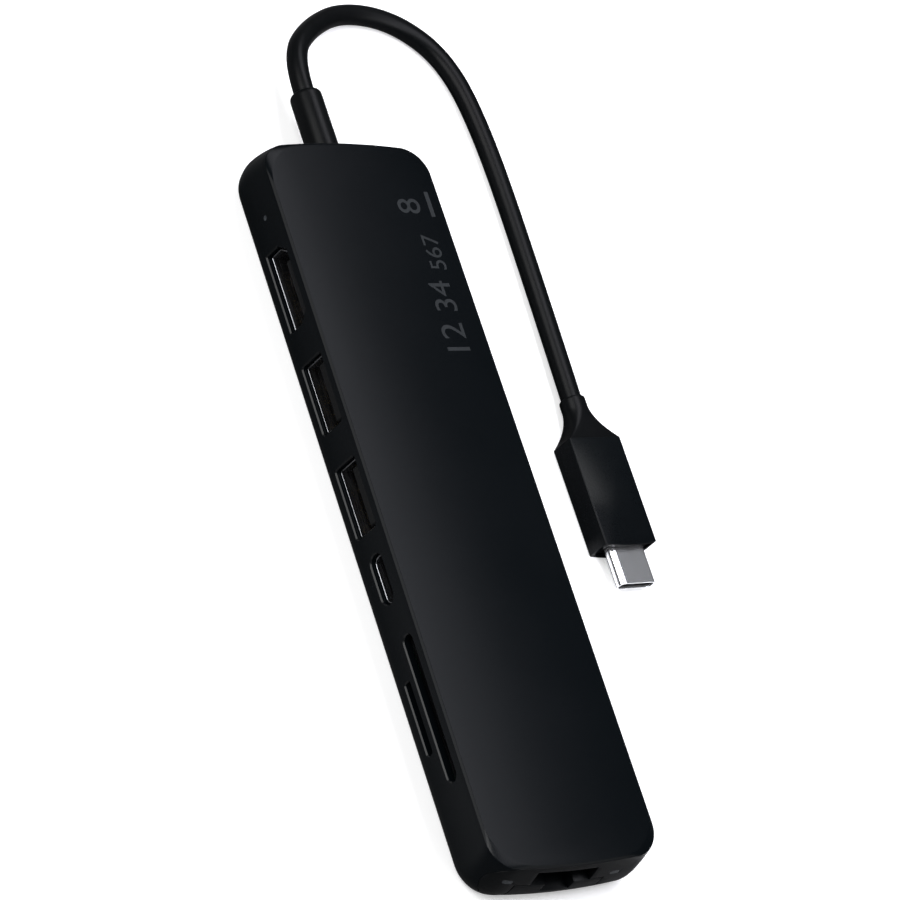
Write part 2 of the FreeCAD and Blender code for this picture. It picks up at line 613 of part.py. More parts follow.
# ---------------------------------------------------------------- Ethernet socket
def ethernet_jack():
    z_top = CAVITY_Z[1] - FIT
    y = around(ETHERNET_Y, JAW_WIDTH - 2 * JACK_SIDE_GAP)
    body = box((JACK_BACK_X, CAP_WALL_X), y, (JAW_TOP + JAW_GAP, z_top))
    back = box((JACK_BACK_X, JACK_HOLLOW_X), y, (HINGE_Z + HINGE_BARREL_R + BARREL_ROOM, z_top))
    foot = box((JACK_BACK_X, BOARD_X[1]), y, (BOARD_TOP, z_top))
    hollow = box((JACK_HOLLOW_X, CAP_WALL_X + PAST), around(ETHERNET_Y, MOUTH_WIDTH),
                 (0, ETHERNET_TOP))
    return cut(fuse(body, back, foot), hollow)


def ethernet_contacts():
    """Row of spring wires that run forward under the roof and turn back down."""
    width, thickness = CONTACT_WIRE
    back = JACK_HOLLOW_X
    tip = back + CONTACT_REACH
    top = ETHERNET_TOP - thickness * 0.75
    dip = top - CONTACT_DIP
    path = ((back, top - thickness), (tip - 7 * thickness, top - thickness),
            (back + 13 * thickness, dip + thickness), (back + 13.5 * thickness, dip),
            (tip, top), (back, top))
    wires = []
    for i in range(CONTACT_COUNT):
        y = ETHERNET_Y + (i - (CONTACT_COUNT - 1) / 2) * CONTACT_PITCH - width / 2
        corners = [Vector(x, y, z) for x, z in path]
        face = Part.Face(Part.makePolygon(corners + corners[:1]))
        wires.append(face.extrude(Vector(0, width, 0)))
    return wires


def ethernet_jaw(form):
    """Lower half of the socket: it swings down about its rear pin to let a plug in."""
    width = around(ETHERNET_Y, JAW_WIDTH)
    block = box((HINGE_X, HALF_L + PAST), width, (-PAST, JAW_TOP)).common(form)
    barrel = rod("y", HINGE_X, HINGE_Z, width, HINGE_BARREL_R)
    lip_x = HALF_L - JAW_LIP_BACK
    pocket = box((HINGE_X - HINGE_BARREL_R - PAST, lip_x), grown(width, -JAW_CHEEK),
                 (JAW_FLOOR, JAW_TOP + PAST))
    latch = box((lip_x - PAST, HALF_L + PAST), around(ETHERNET_Y, LATCH_WIDTH),
                (LATCH_BOTTOM, JAW_TOP + PAST))
    pin_hole = rod("y", HINGE_X, HINGE_Z, grown(width, PAST), PIN_R + PIN_CLEAR)
    return cut(fuse(block, barrel), pocket, latch, pin_hole)


def hinge_pin():
    reach = around(ETHERNET_Y, JAW_WIDTH + 2 * JAW_GAP + 2 * PIN_GRIP)
    return rod("y", HINGE_X, HINGE_Z, reach, PIN_R)


def jaw_spring():
    """Coil of the torsion spring round the hinge pin; its two short legs are left out."""
    coil_r = PIN_R + SPRING_WIRE_R + SPRING_CLEAR
    helix = Part.makeHelix(SPRING_PITCH, SPRING_LENGTH, coil_r)
    start = helix.Edges[0].valueAt(helix.Edges[0].FirstParameter)
    rise = Vector(0, 1, SPRING_PITCH / (2 * math.pi * coil_r))
    ring = Part.Wire(Part.makeCircle(SPRING_WIRE_R, start, rise))
    coil = Part.Wire(helix.Edges).makePipeShell([ring], True, True)
    coil.rotate(Vector(0, 0, 0), Vector(1, 0, 0), -90)
    coil.translate(Vector(HINGE_X, ETHERNET_Y - SPRING_LENGTH / 2, HINGE_Z))
    return coil


def light_pipe(form, side):
    guide = light_pipe_bar(side, 0).common(form)
    y = around(ETHERNET_Y + side * LIGHT_OFFSET, LIGHT_SIZE[0])
    foot = box((LIGHT_FOOT_X, LIGHT_FOOT_X + LIGHT_SIZE[1]), y,
               (BOARD_TOP + LIGHT_CHIP[1], LIGHT_Z + LIGHT_SIZE[1] / 2))
    return fuse(guide, foot)


# ---------------------------------------------------------------- chips and small parts
def chip(x, y, width, depth, height):
    return box(around(x, width), around(y, depth), (BOARD_TOP, BOARD_TOP + height))


def chips_at(places, size):
    return [chip(x, y, *size) for x, y in places]


def shield_can():
    """Open-bottomed metal can over the display chip."""
    x, y, width, depth, _ = CHIPS["display_chip"]
    u = grown(around(x, width), SHIELD_MARGIN)
    v = grown(around(y, depth), SHIELD_MARGIN)
    top = BOARD_TOP + SHIELD_HEIGHT
    outer = bar("z", u, v, (BOARD_TOP, top), 2 * SHIELD_WALL)
    hollow = box(grown(u, -SHIELD_WALL), grown(v, -SHIELD_WALL), (BOARD_BOTTOM, top - SHIELD_WALL))
    return outer.cut(hollow)


def board_lights():
    """Light-emitting chips under the two Ethernet guides and behind the status guide."""
    width, height = LIGHT_CHIP
    chips = []
    for side in (-1, 1):
        chips.append(chip(LIGHT_FOOT_X + LIGHT_SIZE[1] / 2, ETHERNET_Y + side * LIGHT_OFFSET,
                          LIGHT_SIZE[1], width, height))
    status = box(around(STATUS_LIGHT_X, width), (BOARD_Y[0] + CUT_CLEAR, BOARD_Y[0] + width),
                 (BOARD_TOP, STATUS_LIGHT_Z + STATUS_LIGHT_R + CUT_CLEAR))
    return chips + [status]


def status_light_pipe():
    return rod("y", STATUS_LIGHT_X, STATUS_LIGHT_Z,
               (-HALF_W + STATUS_LIGHT_SET, BOARD_Y[0] + CUT_CLEAR), STATUS_LIGHT_R)


# ---------------------------------------------------------------- lead inside the hub
def strain_relief():
    tail = rod("x", 0, RELIEF_Z, (RELIEF_TIP, RELIEF_COLLAR_X), RELIEF_R)
    tip_edges = [e for e in tail.Edges if abs(e.BoundBox.XMax - RELIEF_TIP) < LEAST_FLAT]
    tail = tail.makeFillet(RELIEF_TIP_ROUND, tip_edges)
    collar = rod("x", 0, RELIEF_Z, (RELIEF_COLLAR_X, RELIEF_COLLAR_X + RELIEF_COLLAR),
                 RELIEF_R + RELIEF_COLLAR_STEP)
    return fuse(tail, collar)


def cord_inner_end():
    return rod("x", 0, RELIEF_Z, (RELIEF_COLLAR_X + RELIEF_COLLAR, CORD_INNER_X), CORD_R)


def clamp_screw_places():
    y = CORD_R + CLAMP_SCREW_SIDE
    return [(sum(CLAMP_X) / 2, side * y) for side in (-1, 1)]


def cable_clamp():
    body = bar("z", CLAMP_X, around(0, 2 * (CORD_R + CLAMP_SIDE)),
               (BOARD_TOP, RELIEF_Z + CORD_R + CLAMP_OVER), CLAMP_CORNER_R)
    groove = rod("x", 0, RELIEF_Z, grown(CLAMP_X, PAST), CORD_R)
    slot = box(grown(CLAMP_X, PAST), (-CORD_R, CORD_R), (BOARD_BOTTOM, RELIEF_Z))
    holes = [rod("z", x, y, (0, HEIGHT), CLAMP_SCREW[0]) for x, y in clamp_screw_places()]
    return cut(body, groove, slot, *holes)


def clamp_screws():
    top = RELIEF_Z + CORD_R + CLAMP_OVER
    return [screw(x, y, top, top - BOARD_TOP, *CLAMP_SCREW) for x, y in clamp_screw_places()]


def cord_leads():
    leads = []
    for i in range(LEAD_COUNT):
        y = (i - (LEAD_COUNT - 1) / 2) * LEAD_PITCH
        start = Vector(CORD_INNER_X, y, RELIEF_Z)
        way = Vector(LEAD_REACH, y * (LEAD_SPREAD - 1), BOARD_TOP + LEAD_PAD_GAP - RELIEF_Z)
        leads.append(Part.makeCylinder(LEAD_R, way.Length, start, way))
    return leads


# ---------------------------------------------------------------- free lead
def cord_tube(route, r):
    """Tube along straight runs joined by the largest arcs that the runs allow."""
    points = [Vector(*p) for p in route]
    edges = []
    at = points[0]
    for i in range(1, len(points) - 1):
        back = points[i - 1] - points[i]
        ahead = points[i + 1] - points[i]
        turn = math.pi - back.getAngle(ahead)
        reach = 0.45 * min(back.Length, ahead.Length)
        radius = reach / math.tan(turn / 2)
        print(f"cord point {i}: turn {math.degrees(turn):5.1f} deg, arc radius {radius:7.2f}")
        back.normalize()
        ahead.normalize()
        enter = points[i] + back * reach
        leave = points[i] + ahead * reach
        centre_way = (back + ahead).normalize()
        centre = points[i] + centre_way * (radius / math.cos(turn / 2))
        middle = centre - centre_way * radius
        edges.append(Part.makeLine(at, enter))
        edges.append(Part.Arc(enter, middle, leave).toShape())
        at = leave
    edges.append(Part.makeLine(at, points[-1]))
    path = Part.Wire(edges)
    ring = Part.Wire(Part.makeCircle(r, points[0], points[1] - points[0]))
    tube = path.makePipeShell([ring], True, False)
    section = math.pi * r * r * path.Length
    print(f"cord length {path.Length:.1f}, volume {tube.Volume:.1f}, section x length {section:.1f}")
    return tube


# ---------------------------------------------------------------- plug on the lead
def plug_section(x, width, height, r):
    return rounded_wire("x", around(PLUG_Y, width), around(PLUG_Z, height), x, r)


def plug_boot():
    """Round collar that flares into the plug's flat body."""
    end = PLUG_BODY_X[0]
    start = end - PLUG_BOOT_LENGTH
    round_d = 2 * PLUG_COLLAR_R
    sections = [plug_section(start, round_d, round_d, PLUG_COLLAR_R)]
    for i in range(BOOT_STEPS + 1):
        t = i / BOOT_STEPS
        x = start + PLUG_COLLAR_LENGTH + (PLUG_BOOT_LENGTH - PLUG_COLLAR_LENGTH) * t
        width, height = (round_d + (size - round_d) * t * t for size in PLUG_SIZE)
        sections.append(plug_section(x, width, height,
                                     PLUG_COLLAR_R + (PLUG_EDGE_R - PLUG_COLLAR_R) * t))
    return Part.makeLoft(sections, True, True)


def plug_body():
    width, height = PLUG_SIZE
    outer = bar("x", around(PLUG_Y, width), around(PLUG_Z, height), PLUG_BODY_X, PLUG_EDGE_R)
    room = inner(PLUG_SIZE, PLUG_WALL)
    hollow = bar("x", around(PLUG_Y, room[0]), around(PLUG_Z, room[1]),
                 (PLUG_BODY_X[0] + PLUG_WALL, PLUG_BODY_X[1] + PAST), PLUG_HOLLOW_R)
    return outer.cut(hollow)


def plug_front():
    """Plastic insert that closes the front of the plug around its metal shell."""
    room = inner(PLUG_SIZE, PLUG_WALL)
    front = PLUG_BODY_X[1] - PLUG_FRONT_SET
    insert = bar("x", around(PLUG_Y, room[0]), around(PLUG_Z, room[1]),
                 (front - PLUG_FRONT_DEPTH, front), PLUG_HOLLOW_R)
    width, height = PLUG_SHELL_SIZE
    hole = bar("x", around(PLUG_Y, width), around(PLUG_Z, height),
               (front - PLUG_FRONT_DEPTH - PAST, front + PAST), height / 2)
    return insert.cut(hole)


def plug_shell():
    span = (PLUG_BODY_X[1] - PLUG_SHELL_IN, PLUG_BODY_X[1] + PLUG_SHELL_OUT)
    width, height = PLUG_SHELL_SIZE
    shell = bar("x", around(PLUG_Y, width), around(PLUG_Z, height), span, height / 2)
    room = inner(PLUG_SHELL_SIZE, PLUG_SHELL_WALL)
    hollow = bar("x", around(PLUG_Y, room[0]), around(PLUG_Z, room[1]), grown(span, PAST),
                 room[1] / 2)
    return shell.cut(hollow)


def plug_insulator():
    """Plastic liner inside the metal shell, slotted for the socket's tongue."""
    span = (PLUG_BODY_X[1] - PLUG_SHELL_IN, PLUG_BODY_X[1] + PLUG_SHELL_OUT - PLUG_LINER_SET)
    width, height = inner(PLUG_SHELL_SIZE, PLUG_SHELL_WALL)
    liner = bar("x", around(PLUG_Y, width), around(PLUG_Z, height), span, height / 2)
    slot = inner(USB_C_TONGUE, -PLUG_SLOT_CLEAR)
    room = bar("x", around(PLUG_Y, slot[0]), around(PLUG_Z, slot[1]),
               (span[1] - PLUG_SLOT_DEPTH, span[1] + PAST), TONGUE_R)
    return liner.cut(room)


def plug_board():
    width = inner(PLUG_SIZE, PLUG_WALL + PLUG_BOARD_GAP)[0]
    return box((PLUG_BODY_X[0] + PLUG_WALL, PLUG_BODY_X[1] - PLUG_SHELL_IN),
               around(PLUG_Y, width), around(PLUG_Z, PLUG_BOARD_T))


# ---------------------------------------------------------------- build every node
def build():
    form = outer_form()
    save("housing_sleeve", housing_sleeve(form))
    save("ethernet_end_cap", ethernet_end_cap(form))
    save("cable_end_cap", cable_end_cap(form))
    save("board_tray", board_tray())
    save("main_board", main_board())
    save("board_screws", *board_screws())

    shell, insulator, contacts = hdmi_socket()
    save("hdmi_shell", shell)
    save("hdmi_insulator", insulator)
    save("hdmi_contacts", *contacts)
    for number, x in enumerate(USB_A_X, 1):
        shell, insulator, contacts = usb_a_socket(x)
        save(f"usb_a_shell_{number}", shell)
        save(f"usb_a_insulator_{number}", insulator)
        save(f"usb_a_contacts_{number}", *contacts)
    shell, insulator, riser = usb_c_socket()
    save("usb_c_socket_shell", shell)
    save("usb_c_socket_tongue", insulator)
    save("usb_c_riser", riser)
    cage, span = card_cage(SD_X, SD_Z, SD_CAGE, SD_DEPTH, True)
    save("sd_cage", cage)
    save("sd_contacts", card_contacts(SD_X, SD_Z, SD_CAGE, span, *SD_CONTACTS))
    cage, span = card_cage(MICROSD_X, MICROSD_Z, MICROSD_CAGE, MICROSD_DEPTH, False)
    save("microsd_cage", cage)
    springs = card_contacts(MICROSD_X, MICROSD_Z, MICROSD_CAGE, span, *MICROSD_CONTACTS)
    save("microsd_contacts", springs)

    save("ethernet_jack", ethernet_jack())
    save("ethernet_contacts", *ethernet_contacts())
    save("ethernet_jaw", ethernet_jaw(form))
    save("jaw_hinge_pin", hinge_pin())
    save("jaw_spring", jaw_spring())
    save("link_light_pipe", light_pipe(form, -1))
    save("activity_light_pipe", light_pipe(form, 1))
    save("status_light_pipe", status_light_pipe())
    save("board_lights", *board_lights())

    for name, place in CHIPS.items():
        save(name, chip(*place))
    save("shield_can", shield_can())
    save("inductors", *chips_at(INDUCTORS, INDUCTOR))
    save("crystals", *chips_at(CRYSTALS, CRYSTAL))
    save("capacitors", *chips_at(CAPACITORS, CAPACITOR))

    save("strain_relief", strain_relief())
    save("cord_inner_end", cord_inner_end())
    save("cable_clamp", cable_clamp())
    save("clamp_screws", *clamp_screws())
    save("cord_leads", *cord_leads())
    save("usb_c_cord", cord_tube(CORD_ROUTE, CORD_R))
    save("plug_boot", plug_boot())
    save("plug_body", plug_body())
    save("plug_front", plug_front())
    save("plug_shell", plug_shell())
    save("plug_insulator", plug_insulator())
    save("plug_board", plug_board())


build()
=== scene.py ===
# %% [markdown]
# # A slim multiport hub with a short lead
#
# The hub is a hand-sized bar of black anodised aluminium. Sockets sit along one long side,
# a drop-jaw network socket fills one end, and a short round lead leaves the other end,
# turns back beside the hub and ends in a flat plug.
#
# The engineering model is loaded first as a fixed frame. Each visible piece is then
# modelled again with finer edges, and takes its place from that frame.

# %% Load the frame
import json
import math

import bpy
from mathutils import Matrix, Vector


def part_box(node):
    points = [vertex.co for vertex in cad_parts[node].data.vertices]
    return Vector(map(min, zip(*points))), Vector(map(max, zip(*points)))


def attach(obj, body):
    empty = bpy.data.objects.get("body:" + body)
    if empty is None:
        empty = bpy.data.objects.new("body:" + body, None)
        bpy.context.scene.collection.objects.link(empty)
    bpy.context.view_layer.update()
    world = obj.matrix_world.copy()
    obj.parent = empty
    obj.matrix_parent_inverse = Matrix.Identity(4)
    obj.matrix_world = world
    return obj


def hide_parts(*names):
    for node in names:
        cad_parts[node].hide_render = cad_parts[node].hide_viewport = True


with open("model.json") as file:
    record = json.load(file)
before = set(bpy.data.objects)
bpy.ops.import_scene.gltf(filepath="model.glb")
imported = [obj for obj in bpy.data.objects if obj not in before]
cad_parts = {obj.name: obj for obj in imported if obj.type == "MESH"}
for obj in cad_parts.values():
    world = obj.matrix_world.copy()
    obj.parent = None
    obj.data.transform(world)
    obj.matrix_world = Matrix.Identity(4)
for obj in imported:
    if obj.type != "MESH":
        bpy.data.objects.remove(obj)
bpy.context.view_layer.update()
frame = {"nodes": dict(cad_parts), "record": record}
MM = 0.001

# %% [markdown]
# ## Camera
#
# A long lens from a fair way off keeps the long sides of the bar almost parallel. The
# camera looks down at the hub from its socket side and is rolled, so that the bar stands
# across the picture from top left to bottom right.

# %% Camera
CAMERA_TURN = math.radians(30.294)
CAMERA_HEIGHT = math.radians(45.638)
CAMERA_ROLL = math.radians(48.831)
CAMERA_LENS = 159.45
AIM_RIGHT, AIM_DOWN, AIM_DISTANCE = -4.472, 12.088, 697.56

ahead = Vector((-math.sin(CAMERA_TURN) * math.cos(CAMERA_HEIGHT),
                math.cos(CAMERA_TURN) * math.cos(CAMERA_HEIGHT),
                -math.sin(CAMERA_HEIGHT)))
level = ahead.cross(Vector((0, 0, 1))).normalized()
upright = level.cross(ahead)
right = level * math.cos(CAMERA_ROLL) + upright * math.sin(CAMERA_ROLL)
up = upright * math.cos(CAMERA_ROLL) - level * math.sin(CAMERA_ROLL)
eye = (up * AIM_DOWN - right * AIM_RIGHT - ahead * AIM_DISTANCE) * MM

bpy.ops.object.camera_add(location=eye)
camera = bpy.context.object
camera.rotation_mode = "QUATERNION"
camera.rotation_quaternion = Matrix((right, up, -ahead)).transposed().to_quaternion()
camera.data.sensor_width = 36
camera.data.lens = CAMERA_LENS
camera.data.clip_start = 0.01
bpy.context.scene.camera = camera
print("camera at", [round(v / MM) for v in eye], "mm")

# %% [markdown]
# ## The lead
#
# The lead is a length of soft round cable. It could be swept as a mesh, but a NURBS spline
# with a few control points keeps it smooth and easy to reshape: out of the strain relief,
# over in one open loop, down to the table and back along the hub. The curve's round section
# has a radius of one metre, and each point's own radius scales it down to the lead's.

# %% Lead
LEAD_RADIUS = 1.95
LEAD_ROUTE = ((-83.5, 0.0, 5.5), (-91.6, 0.0, 5.5), (-99.0, 7.2, 3.9), (-104.1, 17.6, 2.2),
              (-102.4, 29.5, 2.0), (-94.2, 38.4, 2.0), (-78.5, 41.2, 2.0), (-49.7, 40.9, 2.15),
              (-21.2, 39.5, 2.75))

line = bpy.data.curves.new("lead", "CURVE")
line.dimensions = "3D"
line.bevel_depth = 1.0
line.bevel_resolution = 10
line.resolution_u = 24
line.use_fill_caps = True
spline = line.splines.new("NURBS")
spline.points.add(len(LEAD_ROUTE) - 1)
for point, place in zip(spline.points, LEAD_ROUTE):
    point.co = (*(v * MM for v in place), 1)
    point.radius = LEAD_RADIUS * MM
spline.order_u = 3
spline.use_endpoint_u = True
lead = bpy.data.objects.new("lead", line)
bpy.context.scene.collection.objects.link(lead)
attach(lead, "hub")
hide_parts("usb_c_cord")
print("lead control points", len(LEAD_ROUTE))

# %% [markdown]
# ## Table
#
# The hub lies on a plain white sheet that runs far beyond the picture. A black satin body
# mirrors the strip of sheet right beside it, so the sheet carries a painted reflection: to
# rays from a shiny surface it is painted in grey tones, dark at the lead's end, rising towards
# the network end, black under the lead, and white round the plug's shell. The dark tones are
# painted shade and the white is a painted highlight. The camera itself sees plain white with a
# little glow, which keeps the shadows faint. Real grey cards would do the same, but they would
# show in the picture. Every place here is in metres, as in the shader.

# %% Sheet material
SHEET_WHITE, SHEET_GLOW, SHEET_ROUGH = 0.9, 0.25, 0.9
# Grey tones of the painted reflection, each at a place along the hub in metres.
PAINTED_REFLECTION_TONES = ((-0.105, 0.1), (-0.06, 0.13), (0.0, 0.26), (0.056, 0.5), (0.064, 0.46), (0.07, 0.2))
REFLECTION_TONES_LEFT, REFLECTION_TONES_RIGHT = PAINTED_REFLECTION_TONES[0][0], PAINTED_REFLECTION_TONES[-1][0]
LEAD_REFLECTION_TONE = PAINTED_REFLECTION_TONES[0][1]
FAR_SIDE, PLUG_SIDE, SHELL_TIP = 0.028, 0.035, 0.0158
WHITE_START, WHITE_FULL = 0.006, 0.009


def math_node(tree, operation, *values):
    """A math node fed by other nodes' sockets or by plain numbers."""
    node = tree.nodes.new("ShaderNodeMath")
    node.operation = operation
    for socket, value in zip(node.inputs, values):
        if isinstance(value, float):
            socket.default_value = value
        else:
            tree.links.new(value, socket)
    return node.outputs["Value"]


def sheet_material():
    """White to the camera; to rays from a shiny surface it shows a painted reflection, shaded along the
    hub.
    """
    material = bpy.data.materials.new("pale_sheet")
    material.use_nodes = True
    tree = material.node_tree
    nodes, links = tree.nodes, tree.links
    shader = nodes["Principled BSDF"]
    shader.inputs["Roughness"].default_value = SHEET_ROUGH
    shader.inputs["Emission Color"].default_value = (1, 1, 1, 1)
    place = nodes.new("ShaderNodeTexCoord")
    split = nodes.new("ShaderNodeSeparateXYZ")
    links.new(place.outputs["Object"], split.inputs["Vector"])
    x_place, y_place = split.outputs["X"], split.outputs["Y"]
    along = nodes.new("ShaderNodeMapRange")
    along.inputs["From Min"].default_value = REFLECTION_TONES_LEFT
    along.inputs["From Max"].default_value = REFLECTION_TONES_RIGHT
    links.new(x_place, along.inputs["Value"])
    # This ramp paints the reflection's shade along the hub.
    reflection_ramp = nodes.new("ShaderNodeValToRGB")
    elements = reflection_ramp.color_ramp.elements
    while len(elements) < len(PAINTED_REFLECTION_TONES):
        elements.new(0.5)
    for element, (x, tone) in zip(elements, PAINTED_REFLECTION_TONES):
        element.position = (x - REFLECTION_TONES_LEFT) / (REFLECTION_TONES_RIGHT - REFLECTION_TONES_LEFT)
        element.color = (tone, tone, tone, 1)
    links.new(along.outputs["Result"], reflection_ramp.inputs["Fac"])
    # Beyond the hub the painted reflection is dark under the lead, with a painted white highlight round
    # the plug's shell.
    beside_plug = nodes.new("ShaderNodeMapRange")
    beside_plug.inputs["From Min"].default_value = WHITE_START
    beside_plug.inputs["From Max"].default_value = WHITE_FULL
    beside_plug.inputs["To Min"].default_value = LEAD_REFLECTION_TONE
    links.new(x_place, beside_plug.inputs["Value"])
    beyond_hub = math_node(tree, "GREATER_THAN", y_place, FAR_SIDE)
    before_plug = math_node(tree, "LESS_THAN", y_place, PLUG_SIDE)
    past_tip = math_node(tree, "GREATER_THAN", x_place, SHELL_TIP)
    white = math_node(tree, "MAXIMUM", before_plug, past_tip)
    strip = math_node(tree, "MULTIPLY", beside_plug.outputs["Result"], white)
    sides = nodes.new("ShaderNodeMix")
    links.new(beyond_hub, sides.inputs["Factor"])
    links.new(reflection_ramp.outputs["Color"], sides.inputs["A"])
    links.new(strip, sides.inputs["B"])
    # Only rays from a shiny surface see the painted reflection; the camera sees plain white.
    ray = nodes.new("ShaderNodeLightPath")
    tone = nodes.new("ShaderNodeMix")
    tone.inputs["A"].default_value = SHEET_WHITE
    links.new(ray.outputs["Is Glossy Ray"], tone.inputs["Factor"])
    links.new(sides.outputs["Result"], tone.inputs["B"])
    links.new(tone.outputs["Result"], shader.inputs["Base Color"])
    glow = math_node(tree, "MULTIPLY", ray.outputs["Is Camera Ray"], SHEET_GLOW)
    links.new(glow, shader.inputs["Emission Strength"])
    return material


white_sheet = sheet_material()
# The card tones in this print are the painted reflection's tones.
print("sheet with", len(PAINTED_REFLECTION_TONES), "card tones")

# %% [markdown]
# ## Table
#
# The table is one flat face at the height that the hub stands on. It is large, so that its
# edge stays far off even in a low view, and it is stage scenery, not a piece of the hub.

# %% Table
TABLE_SIZE = 6

bpy.ops.object.select_all(action="DESELECT")
bpy.ops.mesh.primitive_plane_add(size=TABLE_SIZE, location=(0, 0, 0))
table = bpy.context.object
table.name = "table"
table.data.materials.append(white_sheet)
print("table", TABLE_SIZE, "m wide")

# %% [markdown]
# ## Light
#
# A black satin body shows its lamps more than its colour. The main lamp is large, soft and
# on the camera's side, so the sheet is white while the top face doesn't mirror it. A long
# low lamp behind the hub is mirrored by the top: the near edge sees all of it and the far
# edge sees past it, which gives the slow fade across the top. Two small lamps do the same
# for the plug's top and for the corner of the chamfer. The sky gives little light, and is
# pale where the camera sees it.

# %% Light
bpy.context.scene.view_settings.view_transform = "Standard"
world = bpy.data.worlds.new("studio")
bpy.context.scene.world = world
world.use_nodes = True
SKY_LIGHT, SKY_SEEN = 0.1, 0.9
sky_nodes, sky_links = world.node_tree.nodes, world.node_tree.links
sky_nodes["Background"].inputs["Color"].default_value = (0.95, 0.97, 1.0, 1)
sky_ray = sky_nodes.new("ShaderNodeLightPath")
sky_strength = sky_nodes.new("ShaderNodeMapRange")
sky_strength.inputs["To Min"].default_value = SKY_LIGHT
sky_strength.inputs["To Max"].default_value = SKY_SEEN
sky_links.new(sky_ray.outputs["Is Camera Ray"], sky_strength.inputs["Value"])
sky_links.new(sky_strength.outputs["Result"], sky_nodes["Background"].inputs["Strength"])


def soft_lamp(name, place, aim, size, power):
    """A rectangular lamp. Its place, the point it looks at and its size are in mm."""
    bpy.ops.object.light_add(type="AREA", location=Vector(place) * MM)
    lamp = bpy.context.object
    lamp.name = name
    lamp.data.shape = "RECTANGLE"
    lamp.data.size, lamp.data.size_y = (v * MM for v in size)
    lamp.data.energy = power
    way = (Vector(aim) - Vector(place)).normalized()
    lamp.rotation_mode = "QUATERNION"
    lamp.rotation_quaternion = way.to_track_quat("-Z", "Y")
    lamp.visible_camera = False
    return lamp


soft_lamp("main_lamp", place=(-120, -450, 430), aim=(0, 0, 0), size=(700, 420), power=5.1)
soft_lamp("fill_lamp", place=(500, 250, 420), aim=(0, 0, 0), size=(500, 400), power=1.4)
sheen_lamp = soft_lamp("sheen_lamp", place=(-70, 52, 140), aim=(-70, 52, 0), size=(350, 80),
                       power=0.5)
sheen_lamp.data.color = (0.93, 0.93, 1.0)
plug_lamp = soft_lamp("plug_lamp", place=(-19.5, 49, 30), aim=(-19.5, 49, 0), size=(25, 12),
                      power=0.0046)
corner_lamp = soft_lamp("corner_lamp", place=(62, -45, 140), aim=(62, -14, 10), size=(50, 60),
                        power=0.15)

# %% [markdown]
# ## Outlines
#
# Nearly every piece here starts as a closed outline that is drawn flat and then pulled
# into a bar, or as a row of outlines that are bridged. An outline is a list of points in
# millimetres. Its round stretches are worked out as arcs, so that a radius is one number.

# %% Outlines
def rounded(corners, radius, steps=8):
    """An outline whose corners are arcs."""
    points = []
    for i, corner in enumerate(corners):
        corner = Vector(corner)
        back = (Vector(corners[i - 1]) - corner).normalized()
        on = (Vector(corners[(i + 1) % len(corners)]) - corner).normalized()
        half = back.angle(on) / 2
        centre = corner + (back + on).normalized() * (radius / math.sin(half))
        first = corner + back * (radius / math.tan(half)) - centre
        last = corner + on * (radius / math.tan(half)) - centre
        start = math.atan2(first.y, first.x)
        turn = (math.atan2(last.y, last.x) - start + math.pi) % (2 * math.pi) - math.pi
        for step in range(steps + 1):
            angle = start + turn * step / steps
            points.append((centre.x + radius * math.cos(angle),
                           centre.y + radius * math.sin(angle)))
    return points


def panel(middle, size, radius, steps=8, grow=0.0):
    """A rounded rectangle, grown evenly by a margin."""
    half_u, half_v = size[0] / 2 + grow, size[1] / 2 + grow
    radius = min(radius + grow, half_u - 0.01, half_v - 0.01)
    u, v = middle
    return rounded([(u - half_u, v - half_v), (u + half_u, v - half_v),
                    (u + half_u, v + half_v), (u - half_u, v + half_v)], radius, steps)


def ring_of(radius, middle, steps=48):
    """A round outline."""
    return [(middle[0] + radius * math.cos(2 * math.pi * i / steps),
             middle[1] + radius * math.sin(2 * math.pi * i / steps)) for i in range(steps)]


print("a rounded square has", len(panel((0, 0), (10, 10), 2)), "points")

# %% [markdown]
# ## Drawing and pulling
#
# `draw` lays an outline down as one flat face, `pull` extrudes it, and `pipe` insets it
# first and drops its middle. Building the faces by hand would give the same shape, but the
# edit mode operators keep every piece a closed mesh.

# %% Draw and pull
def in_space(axis, u, v, w):
    """Where a point (u, v) of an outline lies, w along the axis it is drawn across."""
    if axis == "x":
        return Vector((w, u, v))
    if axis == "y":
        return Vector((u, w, v))
    return Vector((u, v, w))


def edit(select=True):
    """Go into edit mode with everything selected, or nothing."""
    bpy.ops.object.mode_set(mode="EDIT")
    bpy.ops.mesh.select_all(action="SELECT" if select else "DESELECT")


def leave(recalculate=True):
    """Go back to object mode, with the faces turned outwards first."""
    if recalculate:
        bpy.ops.mesh.select_all(action="SELECT")
        bpy.ops.mesh.normals_make_consistent(inside=False)
    bpy.ops.object.mode_set(mode="OBJECT")


def activate(piece):
    """Select one piece alone, so that operators act on nothing else."""
    bpy.ops.object.select_all(action="DESELECT")
    piece.select_set(True)
    bpy.context.view_layer.objects.active = piece


def draw(name, points, axis, at):
    """Draw an outline as one flat face across an axis."""
    bpy.ops.object.select_all(action="DESELECT")
    bpy.ops.mesh.primitive_circle_add(vertices=len(points), fill_type="NGON")
    piece = bpy.context.object
    piece.name = piece.data.name = name
    for vertex, (u, v) in zip(piece.data.vertices, points):
        vertex.co = in_space(axis, u, v, at) * MM
    piece.data.update()
    piece.matrix_world = Matrix.Identity(4)
    return piece


def pull(piece, axis, depth):
    """Extrude the drawn face into a closed bar."""
    activate(piece)
    edit()
    bpy.ops.mesh.extrude_region_move(
        TRANSFORM_OT_translate={"value": in_space(axis, 0, 0, depth) * MM})
    leave()
    return piece


def bar(name, points, axis, start, stop):
    """A solid bar with an outline as its section."""
    return pull(draw(name, points, axis, start), axis, stop - start)


